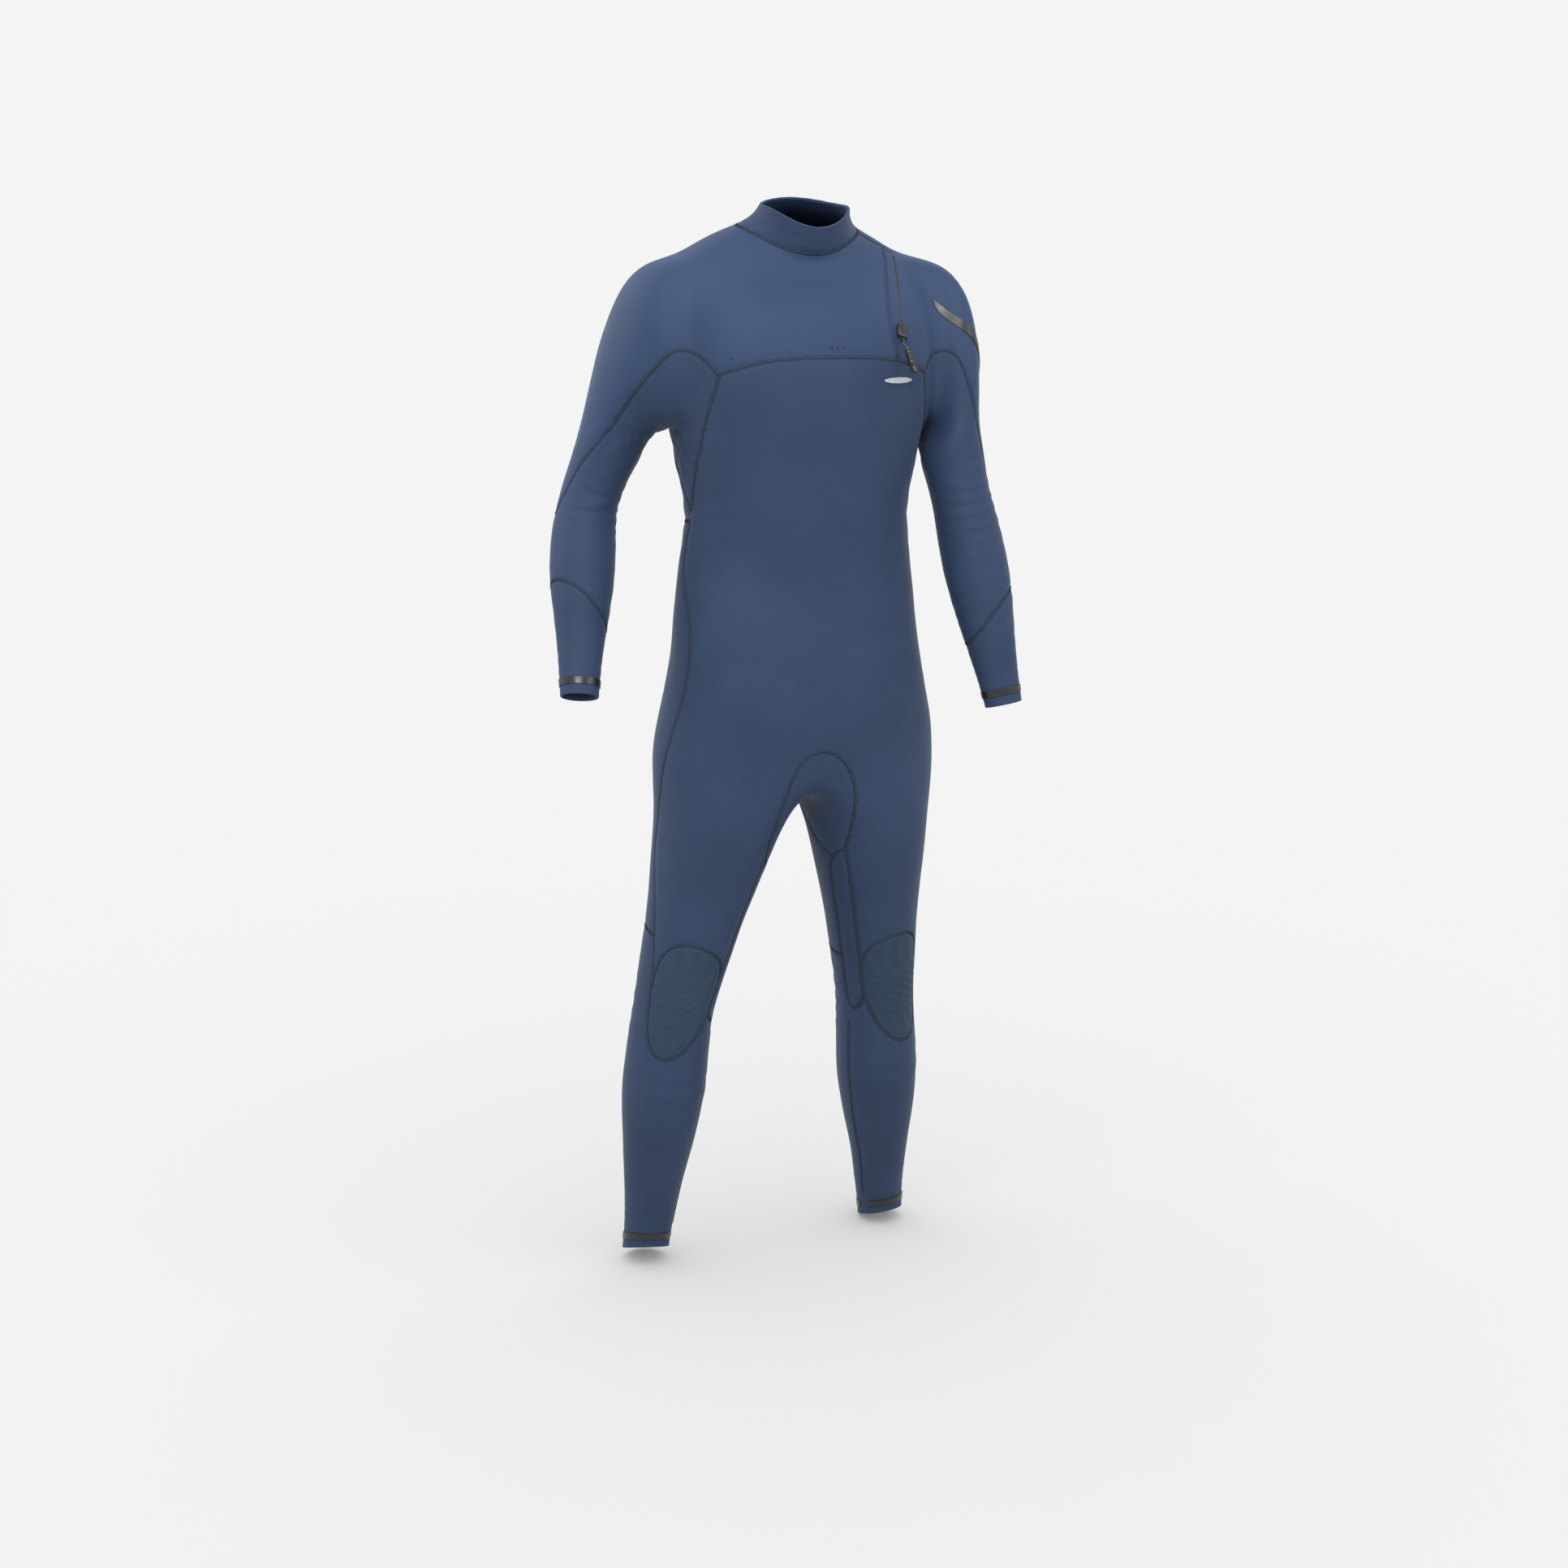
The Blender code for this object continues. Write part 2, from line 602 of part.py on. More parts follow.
    def thin(self, shortest):
        """Merges the ends of short edges, where that leaves every seam in place."""
        for _ in range(6):
            merged = 0
            for edge in sorted(self.bm.edges, key=lambda e: e.calc_length()):
                if not edge.is_valid or edge.calc_length() > shortest:
                    continue
                merged += self.merge(edge)
            if not merged:
                break

    def merge(self, edge):
        a, b = edge.verts
        kinds = [len({self.label[f] for f in v.link_faces}) + 2 * v.is_boundary for v in (a, b)]
        on_seam = edge.is_boundary or len({self.label[f] for f in edge.link_faces}) > 1
        if kinds[0] > kinds[1]:
            a, b, kinds = b, a, kinds[::-1]
        # a goes and b stays. A point on a seam may only go along that seam.
        if kinds[0] > 2 or (kinds[0] == 2 and not (on_seam and kinds[1] >= 2)) or a.is_boundary:
            return 0
        shared = {e.other_vert(a) for e in a.link_edges} & {e.other_vert(b) for e in b.link_edges}
        if len(shared) != 2 or len(edge.link_faces) != 2:
            return 0
        for face in a.link_faces:
            if b in face.verts:
                continue
            old = face.normal.copy()
            corners = [b.co if v is a else v.co for v in face.verts]
            new = (corners[1] - corners[0]).cross(corners[2] - corners[0])
            spans = [(corners[k] - corners[k - 1]).length for k in range(3)]
            if new.length < 0.12 * max(spans) ** 2 or max(spans) > 0.034 or new.normalized().dot(old) < 0.93:
                return 0
        label = {face: (self.home[face], self.label[face]) for face in a.link_faces}
        layer = self.bm.faces.layers.int["row"]
        keep = {}
        for number, face in enumerate(label):
            face[layer] = number
            keep[number] = label[face]
        bmesh.ops.weld_verts(self.bm, targetmap={a: b})
        for face in b.link_faces:
            if face not in self.home:
                self.home[face], self.label[face] = keep[face[layer]]
            face.normal_update()
        return 1


def cut_panels(cloth):
    """Cuts every seam in turn."""
    for side in ("left", "right"):
        arm = f"{side} arm"
        for start, name in ((ELBOW_ZONE[0], "elbow"), (ELBOW_ZONE[1], "forearm")):
            along, _ = limb_chart(cloth.points(), ARM_PATHS[side])
            cloth.split({arm, f"elbow_{side}"}, along - start, f"{name}_{side}", arm)
        along, angle = limb_chart(cloth.points(), ARM_PATHS[side])
        middle, tilt = FOREARM_SEAM
        seam = middle - tilt * np.cos(np.radians(angle + 10))
        cloth.split({f"forearm_{side}"}, along - seam, f"cuff_{side}", arm)
        path = ARM_PATHS[side]
        band = (
            lambda points: limb_chart(points, path)[0] - WRIST_BAND[0],
            lambda points: WRIST_BAND[1] - limb_chart(points, path)[0],
        )
        cloth.pick({f"cuff_{side}"}, band, f"cuff_{side}", f"wrist_band_{side}")

    values = upper_body(cloth.points(), cloth.on("arm"))
    cloth.split({"torso", "left arm", "right arm"}, values, "chest_yoke")
    cloth.split({"torso"}, underarm(cloth.points()), "underarm")
    cloth.split({"chest_yoke"}, behind_raglan(cloth.points()), "back_yoke", "torso")
    cloth.split({"chest_yoke"}, left_of_zip(cloth.points()), "left_shoulder", "torso")

    charts = leg_charts(cloth)
    values = gusset(cloth.points(), cloth.on("leg"), charts)
    cloth.split({"torso", "left leg", "right leg"}, values, "crotch_gusset")
    for side in ("left", "right"):
        leg = f"{side} leg"
        along, angle = leg_charts(cloth)[side]
        flat = [(math.radians(turn) * 0.065, at) for turn, at in PAD]
        pad = inside_outline(np.radians(angle) * 0.065, along, flat)
        cloth.split({leg}, pad, f"knee_pad_{side}", leg)
        cloth.split({leg}, inner_strip(*leg_charts(cloth)[side]), f"inner_thigh_{side}", leg)
        cloth.split({leg}, lower_leg(*leg_charts(cloth)[side]), f"knee_back_{side}", leg)
        cloth.split({f"knee_back_{side}"}, leg_charts(cloth)[side][0] - KNEE_ZONE_END, f"shin_{side}", leg)
        path = LEG_PATHS[side]
        band = (
            lambda points: limb_chart(points, path)[0] - ANKLE_BAND[0],
            lambda points: ANKLE_BAND[1] - limb_chart(points, path)[0],
            lambda points: (abs(turn_of(limb_chart(points, path)[1] - INNER_BACK)) - 10) * 0.0006,
        )
        cloth.pick({f"shin_{side}"}, band, f"shin_{side}", f"ankle_band_{side}")
    front = front_half(cloth.points(), leg_charts(cloth))
    cloth.split({"torso", "left leg", "right leg"}, front, "front_panel")

    points = cloth.points()
    low = SEAT_SEAM[0] + SEAT_SEAM[1] * abs(points[:, 0]) - points[:, 2]
    cloth.split({"torso"}, low, "seat", "torso")
    cloth.split({"seat"}, cloth.points()[:, 0], "seat_left")
    rename(cloth)
    label = (
        lambda points: torso_chart(points)[1] - LABEL[2],
        lambda points: LABEL[3] - torso_chart(points)[1],
        lambda points: (torso_chart(points)[0] - LABEL[0]) * 0.0022,
        lambda points: (LABEL[1] - torso_chart(points)[0]) * 0.0022,
    )
    cloth.pick({"front_panel"}, label, "front_panel", "chest_label", "torso")
    stripe = (
        lambda points: stripe_chart(points)[0] + STRIPE[4],
        lambda points: STRIPE[4] - stripe_chart(points)[0],
        lambda points: (stripe_chart(points)[1] - STRIPE[0]) * 0.0011,
        lambda points: (STRIPE[1] - stripe_chart(points)[1]) * 0.0011,
        lambda points: STRIPE[5] - points[:, 2],
    )
    cloth.pick({"left_shoulder"}, stripe, "left_shoulder", "shoulder_stripe")


def stripe_chart(points):
    """Distance from the middle of the shoulder stripe, and degrees round the arm."""
    first, _, start, rise, _, _ = STRIPE
    along, angle = limb_chart(points, ARM_PATHS["left"])
    angle = np.where(angle < 150, angle + 360, angle)
    return along - start - rise * (angle - first), angle


def leg_charts(cloth):
    points = cloth.points()
    return {side: limb_chart(points, path) for side, path in LEG_PATHS.items()}


def rename(cloth):
    """Joins the regions that are one panel, across the edges of the cage's limbs."""
    for face, label in cloth.label.items():
        side = "left" if face.calc_center_median().x > 0 else "right"
        if label == "torso":
            label = "back_panel"
        elif label in ("left arm", "right arm", "underarm"):
            label = f"underarm_{side}"
        elif label in ("left leg", "right leg", "seat"):
            label = f"seat_{side}"
        elif label == "chest_yoke" and cloth.home[face] == "left arm":
            label = "left_shoulder"
        cloth.label[face] = label


# ---------------------------------------------------------------- solids
def colour_of(kind):
    material = bpy.data.materials.get(kind)
    if not material:
        material = bpy.data.materials.new(kind)
        material.use_nodes = True
        colour, roughness = COLOURS[kind]
        shader = material.node_tree.nodes["Principled BSDF"]
        shader.inputs["Base Color"].default_value = (*colour, 1)
        shader.inputs["Roughness"].default_value = roughness
        material.diffuse_color = (*colour, 1)
    return material


def collection_of(name):
    found = bpy.data.collections.get(name)
    if not found:
        found = bpy.data.collections.new(name)
        bpy.context.scene.collection.children.link(found)
    return found


def solid(name, points, faces, kind, into=SUIT):
    """A closed mesh object, with its faces turned outwards."""
    bm = bmesh.new()
    verts = [bm.verts.new(point) for point in points]
    for face in faces:
        bm.faces.new([verts[i] for i in face])
    bmesh.ops.recalc_face_normals(bm, faces=list(bm.faces))
    if bm.calc_volume(signed=True) < 0:
        bmesh.ops.reverse_faces(bm, faces=list(bm.faces))
    mesh = bpy.data.meshes.new(name)
    bm.to_mesh(mesh)
    bm.free()
    mesh.materials.append(colour_of(kind))
    obj = bpy.data.objects.new(name, mesh)
    collection_of(into).objects.link(obj)
    return obj


def hinged(empty_name, place, objects):
    """An empty on a joint's axis, with the pieces it carries parented to it."""
    empty = bpy.data.objects.new(empty_name, None)
    empty.location = place
    empty.empty_display_size = 0.03
    collection_of(SUIT).objects.link(empty)
    for obj in objects:
        obj.parent = empty
        obj.matrix_parent_inverse = Matrix.Translation(-Vector(place))


def half_gap(edge, cloth):
    """How far a panel stops short of this edge."""
    if len(edge.link_faces) < 2:
        return 0.0
    names = {cloth.label[face].split("+")[0] for face in edge.link_faces}
    if names == {"chest_yoke", "left_shoulder"}:
        ends = zip_chart(np.array([[*vert.co] for vert in edge.verts]))
        if ends.max() > ZIP_SLOT[0] and ends.min() < ZIP_SLOT[1]:
            return ZIP_GAP / 2
    return SEAM_GAP / 2


def shell(cloth, name, kind, under=-FOAM, over=0.0, trim=False):
    """The solid between two offsets of one region, stopping short of its neighbours."""
    def mine(face):
        return name in cloth.label[face].split("+")[1:] if trim else cloth.label[face].split("+")[0] == name

    faces = [face for face in cloth.bm.faces if mine(face)]
    inside = set(faces)
    edge_rules = {}
    rims = []
    for face in faces:
        for loop in face.loops:
            if sum(other in inside for other in loop.edge.link_faces) > 1:
                continue
            a, b = loop.vert, loop.link_loop_next.vert
            rims.append((a, b))
            inward = face.normal.cross(b.co - a.co).normalized()
            gap = 0.0 if trim else half_gap(loop.edge, cloth)
            for vert in (a, b):
                edge_rules.setdefault(vert, []).append((inward, gap))
    index, points = {}, []
    for vert in dict.fromkeys(v for face in faces for v in face.verts):
        rules = edge_rules.get(vert, [])
        if len(rules) > 2:
            raise ValueError(f"{name} meets itself at {tuple(vert.co)}")
        place = vert.co + shift_of(rules)
        index[vert] = len(points)
        facing = cloth.facing(vert)
        points += [place + facing * over, place + facing * under]
    made = [[index[vert] for vert in face.verts] for face in faces]
    made += [[index[vert] + 1 for vert in reversed(face.verts)] for face in faces]
    for a, b in rims:
        # Both sides of a seam take the same diagonal, so that their walls stay parallel.
        a0, b0 = index[a], index[b]
        if a.index < b.index:
            made += [(b0, a0, b0 + 1), (a0, a0 + 1, b0 + 1)]
        else:
            made += [(b0, a0, a0 + 1), (b0, a0 + 1, b0 + 1)]
    return solid(name, points, made, kind)


def shift_of(rules):
    """The move that brings a corner in by each of its two edges' gaps."""
    if not rules:
        return Vector()
    (m1, g1), (m2, g2) = rules
    both = m1.dot(m2)
    if both > 0.9 or both < -0.6:
        return (m1 + m2).normalized() * max(g1, g2)
    return (m1 * (g1 - both * g2) + m2 * (g2 - both * g1)) / (1 - both * both)


class Zip:
    """Sections along the entry zip, bottom to top, and the arc that its slider runs on."""

    def __init__(self, cloth):
        self.tree = cloth.fine
        self.start = self.centre(SLIDER_TRAVEL[0])
        self.hub, self.axis = self.arc(*(self.centre(angle) for angle in SLIDER_TRAVEL))
        self.up = self.axis.cross(self.start - self.hub).normalized()
        beside = [self.start + Vector((0.002 * k, 0, 0)) for k in range(-3, 4)]
        facing = sum((self.tree.find_nearest(point)[1] for point in beside), Vector())
        self.left = self.up.cross(facing).normalized()
        self.out = self.left.cross(self.up)

    def arc(self, first, second, third):
        """Centre and axis of the circle through three points. It turns from the first to the third."""
        u, v = second - first, third - first
        normal = u.cross(v)
        away = v.length_squared * normal.cross(u) + u.length_squared * v.cross(normal)
        return first + away / (2 * normal.length_squared), normal.normalized()

    def centre(self, angle):
        """Where the zip line crosses this angle: along a ray in the plane of the zip."""
        turn = math.radians(angle)
        y = ZIP_AXIS[0] - 0.5 * math.cos(turn)
        z = ZIP_AXIS[1] + 0.5 * math.sin(turn)
        aim = Vector((zip_x(*ZIP_AXIS), *ZIP_AXIS))
        start = Vector((zip_x(y, z), y, z))
        return self.tree.ray_cast(start, (aim - start).normalized())[0]

    def section(self, angle, offsets):
        """Points at each (sideways, outward) offset from the zip line, following the surface."""
        place = self.centre(angle)
        up = (self.centre(angle + 1.5) - self.centre(angle - 1.5)).normalized()
        normal = self.tree.find_nearest(place)[1]
        left = up.cross(normal).normalized()
        points = []
        for aside, out in offsets:
            near, facing, _, _ = self.tree.find_nearest(place + left * aside)
            points.append(near + facing * out)
        return points

    def strip(self, name, kind, start, end, aside, out, steps=8):
        """A bar along the zip, of rectangular section."""
        corners = [(aside[0], out[0]), (aside[1], out[0]), (aside[1], out[1]), (aside[0], out[1])]
        points, faces = [], [(0, 1, 2, 3)]
        for i in range(steps + 1):
            points += self.section(start + (end - start) * i / steps, corners)
            if i:
                base = 4 * i
                for k in range(4):
                    after = (k + 1) % 4
                    faces.append((base - 4 + k, base - 4 + after, base + after, base + k))
        faces.append(tuple(range(4 * steps, 4 * steps + 4)))
        return solid(name, points, faces, kind)

    def at(self, aside, along, out):
        """A point in the slider's own frame."""
        return self.start + self.left * aside + self.up * along + self.out * out


def slider(zipper):
    """Upper plate, web between the chain's two rows, and lower plate."""
    stations = (
        (-0.0085, 0.0042, 0.0025), (-0.0072, 0.0062, 0.0035), (0.0050, 0.0065, 0.0040),
        (0.0085, 0.0045, 0.0030),
    )
    web, low, shoe, plate, top = 0.0003, -0.0079, -0.0069, 0.0020, 0.0042
    points, faces = [], []
    for i, (along, wide, foot) in enumerate(stations):
        outline = [(-foot, low), (foot, low), (foot, shoe), (web, shoe), (web, plate), (wide, plate),
                   (wide, top), (-wide, top), (-wide, plate), (-web, plate), (-web, shoe), (-foot, shoe)]
        points += [zipper.at(aside, along, out) for aside, out in outline]
        if i:
            base = 12 * i
            for k in range(12):
                after = (k + 1) % 12
                faces.append((base - 12 + k, base - 12 + after, base + after, base + k))
    faces += [tuple(range(12)), tuple(range(12 * (len(stations) - 1), 12 * len(stations)))]
    return solid("slider", points, faces, "plastic")


def tube(name, path, radius, kind):
    """A round bar along a path."""
    curve = bpy.data.curves.new(name, "CURVE")
    curve.dimensions = "3D"
    curve.bevel_depth = radius
    curve.bevel_resolution = 2
    curve.use_fill_caps = True
    line = curve.splines.new("POLY")
    line.points.add(len(path) - 1)
    for point, place in zip(line.points, path):
        point.co = (*place, 1)
    curve.materials.append(colour_of(kind))
    obj = bpy.data.objects.new(name, curve)
    collection_of(SUIT).objects.link(obj)
    return obj


def turned(name, start, along, profile, kind):
    """A turned piece: (distance, radius) pairs, from its near end to its far end."""
    mesh = bpy.data.meshes.new(name)
    corners = [(radius, 0, -distance) for distance, radius in profile]
    mesh.from_pydata(corners, [(i, i + 1) for i in range(len(corners) - 1)], [])
    mesh.materials.append(colour_of(kind))
    obj = bpy.data.objects.new(name, mesh)
    collection_of(SUIT).objects.link(obj)
    obj.location = start
    obj.rotation_mode = "QUATERNION"
    obj.rotation_quaternion = along.to_track_quat("-Z", "Y")
    spin = obj.modifiers.new("turn", "SCREW")
    spin.steps = spin.render_steps = 14
    spin.use_merge_vertices = True
    spin.merge_threshold = 0.00005
    return obj


BAR = (-0.0130, 0.0046)        # along and out from the slider's middle, to the pull's hinge
CORD_RADIUS = 0.0010
GRIP_START, GRIP_LENGTH = 0.0140, 0.031
PULL_LEAN = 25                 # degrees the pull hangs towards the wearer's left


def pull(zipper):
    """Bail on the slider, a cord looped through it, and the moulded grip."""
    along, out = BAR
    arms = [(-0.0046, -0.0088, 0.0030), (-0.0048, along + 0.0015, out - 0.0006), (-0.0036, along, out)]
    ring = arms + [(-aside, a, o) for aside, a, o in reversed(arms)]
    bail = tube("slider_bail", [zipper.at(*point) for point in ring], 0.0008, "plastic")

    lean = math.radians(PULL_LEAN)
    down = zipper.left * math.sin(lean) - zipper.up * math.cos(lean)
    aside = zipper.left * math.cos(lean) + zipper.up * math.sin(lean)
    hinge = zipper.at(0, along, out)
    turn = 0.0008 + 0.0003 + CORD_RADIUS
    path = [hinge + down * (GRIP_START - 0.0004) - aside * 0.0014 + zipper.out * 0.0012,
            hinge + down * 0.0090 - aside * 0.0017 + zipper.out * 0.0014,
            hinge - zipper.up * 0.0034 - zipper.left * 0.0012 + zipper.out * turn]
    for degrees in (90, 60, 30, 0, -30, -60, -90):
        angle = math.radians(degrees)
        path.append(hinge + (zipper.up * math.cos(angle) + zipper.out * math.sin(angle)) * turn
                    + zipper.left * (-0.0012 + 0.0024 * (90 - degrees) / 180))
    path += [hinge - zipper.up * 0.0034 + zipper.left * 0.0012 - zipper.out * turn,
             hinge + down * 0.0090 + aside * 0.0017 - zipper.out * 0.0008,
             hinge + down * (GRIP_START - 0.0004) + aside * 0.0014]
    cord = tube("pull_cord", path, CORD_RADIUS, "cord")

    profile = [(0.0, 0.0), (0.0, 0.0030), (0.0008, 0.0038), (0.0060, 0.0040)]
    for i in range(3):
        groove = 0.0075 + 0.0030 * i
        profile += [(groove, 0.0040), (groove + 0.0003, 0.0033)]
        profile += [(groove + 0.0012, 0.0033), (groove + 0.0015, 0.0040)]
    profile += [(0.0200, 0.0037), (GRIP_LENGTH - 0.001, 0.0029), (GRIP_LENGTH, 0.0022), (GRIP_LENGTH, 0.0)]
    grip = turned("pull_grip", hinge + down * GRIP_START + zipper.out * 0.0006, down, profile, "plastic")
    return bail, cord, grip, hinge


def drain_holes(cloth, panel):
    """Bores the drain holes through the chest panel."""
    bm = bmesh.new()
    for x, height in HOLES:
        near, facing, _, _ = cloth.fine.find_nearest(Vector((x, -0.13, height)))
        place = Matrix.Translation(near) @ facing.to_track_quat("Z", "Y").to_matrix().to_4x4()
        bmesh.ops.create_cone(bm, cap_ends=True, segments=10, radius1=HOLE_RADIUS, radius2=HOLE_RADIUS,
                              depth=4 * FOAM, matrix=place)
    mesh = bpy.data.meshes.new("drain_cutter")
    bm.to_mesh(mesh)
    bm.free()
    cutter = bpy.data.objects.new("drain_cutter", mesh)
    collection_of("cutters").objects.link(cutter)
    cutter.hide_render = True
    cutter.display_type = "WIRE"
    cut = panel.modifiers.new("drain holes", "BOOLEAN")
    cut.operation = "DIFFERENCE"
    cut.solver = "EXACT"
    cut.object = cutter


def main():
    for obj in list(bpy.data.objects):
        bpy.data.objects.remove(obj)
    cloth = Cloth(1)
    cut_panels(cloth)
    cloth.absorb_scraps()
    cloth.triangulate()
    cloth.thin(EDGE)
    cloth.bm.normal_update()
    cloth.bm.verts.index_update()

    names = list(dict.fromkeys(label.split("+")[0] for label in cloth.label.values()))
    made = {name: shell(cloth, name, "knee" if "knee_pad" in name else "jersey") for name in names}
    under, over = TRIM
    for name in sorted({label.split("+")[1] for label in cloth.label.values() if "+" in label}):
        made[name] = shell(cloth, name, "silver" if name == "chest_label" else "band", under, over, trim=True)
    drain_holes(cloth, made["chest_yoke"])

    zipper = Zip(cloth)
    low, high = CHAIN
    for side, sign in (("left", 1), ("right", -1)):
        edges = sorted((sign * 0.0010, sign * 0.0022))
        zipper.strip(f"zip_chain_{side}", "zip", low + 1, high - 1, edges, (-0.0032, -0.0006))
        edges = sorted((sign * 0.0013, sign * 0.0130))
        zipper.strip(f"zip_tape_{side}", "tape", low - 1, high, edges, (-0.0048, -0.0042))
    zipper.strip("zip_stop_bottom", "plastic", low + 0.1, low + 0.8, (-0.0018, 0.0018), (-0.0034, -0.0004), 1)
    zipper.strip("zip_stop_top", "plastic", high - 0.8, high - 0.1, (-0.0018, 0.0018), (-0.0034, -0.0004), 1)
    zipper.strip("zip_backing", "tape", low - 4, high, (-0.030, 0.030), (-0.0134, -0.0119))
    bail, cord, grip, hinge = pull(zipper)
    hinged("slider_axis", zipper.hub, [slider(zipper), bail])
    hinged("pull_axis", hinge, [cord, grip])
    for side in ("left", "right"):
        lower = [made[f"{name}_{side}"] for name in ("forearm", "cuff", "wrist_band")]
        hinged(f"elbow_axis_{side}", ARM_PATHS[side][1], lower)
        lower = [made[f"{name}_{side}"] for name in ("shin", "ankle_band")]
        hinged(f"knee_axis_{side}", LEG_PATHS[side][1], lower)


if __name__ == "__main__":
    main()
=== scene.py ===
import json
import math

import bmesh
import bpy
import numpy as np
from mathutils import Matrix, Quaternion, Vector, noise
from mathutils.bvhtree import BVHTree
from mathutils.kdtree import KDTree

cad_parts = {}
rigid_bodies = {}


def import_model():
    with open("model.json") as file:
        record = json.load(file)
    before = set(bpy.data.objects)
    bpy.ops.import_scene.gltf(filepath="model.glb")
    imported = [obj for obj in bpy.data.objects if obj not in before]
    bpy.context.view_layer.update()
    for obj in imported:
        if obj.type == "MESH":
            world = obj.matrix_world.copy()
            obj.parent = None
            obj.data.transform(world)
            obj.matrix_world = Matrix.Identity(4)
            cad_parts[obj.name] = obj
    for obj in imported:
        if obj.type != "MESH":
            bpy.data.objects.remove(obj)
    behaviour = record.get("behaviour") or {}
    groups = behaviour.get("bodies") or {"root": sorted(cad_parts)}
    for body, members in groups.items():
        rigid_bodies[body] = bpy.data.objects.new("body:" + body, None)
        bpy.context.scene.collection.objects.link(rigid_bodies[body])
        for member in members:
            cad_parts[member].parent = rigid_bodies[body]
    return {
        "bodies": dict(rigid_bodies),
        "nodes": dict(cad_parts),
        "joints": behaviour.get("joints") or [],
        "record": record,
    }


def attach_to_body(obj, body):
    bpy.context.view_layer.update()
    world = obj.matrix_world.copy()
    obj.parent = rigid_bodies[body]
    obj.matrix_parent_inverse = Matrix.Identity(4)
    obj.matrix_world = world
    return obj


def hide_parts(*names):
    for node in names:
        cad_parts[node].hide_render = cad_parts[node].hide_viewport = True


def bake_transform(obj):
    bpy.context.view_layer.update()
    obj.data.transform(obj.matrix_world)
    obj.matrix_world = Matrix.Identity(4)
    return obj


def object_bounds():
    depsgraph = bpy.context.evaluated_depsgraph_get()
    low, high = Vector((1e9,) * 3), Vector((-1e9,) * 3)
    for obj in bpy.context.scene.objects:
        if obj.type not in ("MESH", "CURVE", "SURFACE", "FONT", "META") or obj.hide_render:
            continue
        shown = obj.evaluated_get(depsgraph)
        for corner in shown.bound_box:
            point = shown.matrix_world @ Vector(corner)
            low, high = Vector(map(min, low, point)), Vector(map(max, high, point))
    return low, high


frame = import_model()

# ---------------------------------------------------------------- driving dimensions
FOAM = 0.003          # neoprene with jersey on both faces

COLUMNS = 16          # cage columns round the torso
ARM_COLUMNS = 12      # the armhole's edge
LEG_COLUMNS = 12      # half the torso, and the crotch

# Torso rings, bottom to top: height at side, front and back; half width; depth to front and
# to back; y of the centre; squareness of the section, where 2 is an ellipse.
TORSO = (
    (0.680, 0.658, 0.645, 0.197, 0.100, 0.118, 0.000, 2.2),
    (0.740, 0.730, 0.730, 0.181, 0.108, 0.128, -0.006, 2.3),
    (0.808, 0.803, 0.803, 0.167, 0.108, 0.114, -0.005, 2.3),
    (0.872, 0.870, 0.870, 0.163, 0.106, 0.093, 0.002, 2.3),
    (0.933, 0.933, 0.933, 0.156, 0.104, 0.081, 0.001, 2.3),
    (0.987, 0.987, 0.987, 0.147, 0.106, 0.082, -0.005, 2.3),
    (1.028, 1.041, 1.041, 0.154, 0.113, 0.093, -0.003, 2.3),
    (1.064, 1.094, 1.094, 0.161, 0.122, 0.105, -0.002, 2.5),
    (1.106, 1.149, 1.149, 0.164, 0.130, 0.116, -0.005, 2.8),
    (1.174, 1.201, 1.201, 0.166, 0.131, 0.121, -0.008, 3.0),
    (1.244, 1.241, 1.244, 0.166, 0.124, 0.120, -0.005, 2.9),
    (1.281, 1.268, 1.283, 0.165, 0.110, 0.113, 0.006, 2.7),
    (1.320, 1.288, 1.320, 0.152, 0.093, 0.099, 0.015, 2.3),
    (1.346, 1.311, 1.357, 0.110, 0.078, 0.078, 0.010, 2.1),
    (1.357, 1.317, 1.371, 0.078, 0.066, 0.065, -0.007, 2.0),
    (1.369, 1.333, 1.381, 0.063, 0.056, 0.056, -0.025, 2.0),
    (1.383, 1.351, 1.395, 0.058, 0.053, 0.053, -0.037, 2.0),
)
ARMPIT_RING, SHOULDER_RING = 8, 12   # the armhole lies between these rings
COLLAR_RING = 14                     # the collar is sewn on here
CROTCH = ((-0.055, 0.640), (0.005, 0.632), (0.062, 0.640))   # y, z from front to back

# Limb paths: shoulder, elbow, wrist and hip, knee, ankle.
ARM_PATHS = {
    "left": ((0.165, -0.015, 1.267), (0.2125, -0.073, 0.984), (0.250, -0.122, 0.733)),
    "right": ((-0.164, 0.020, 1.261), (-0.262, 0.088, 0.999), (-0.299, -0.010, 0.761)),
}
LEG_PATHS = {
    "left": ((0.098, -0.006, 0.640), (0.121, 0.008, 0.318), (0.150, 0.056, 0.006)),
    "right": ((-0.095, 0.003, 0.640), (-0.174, 0.008, 0.321), (-0.204, 0.034, -0.006)),
}
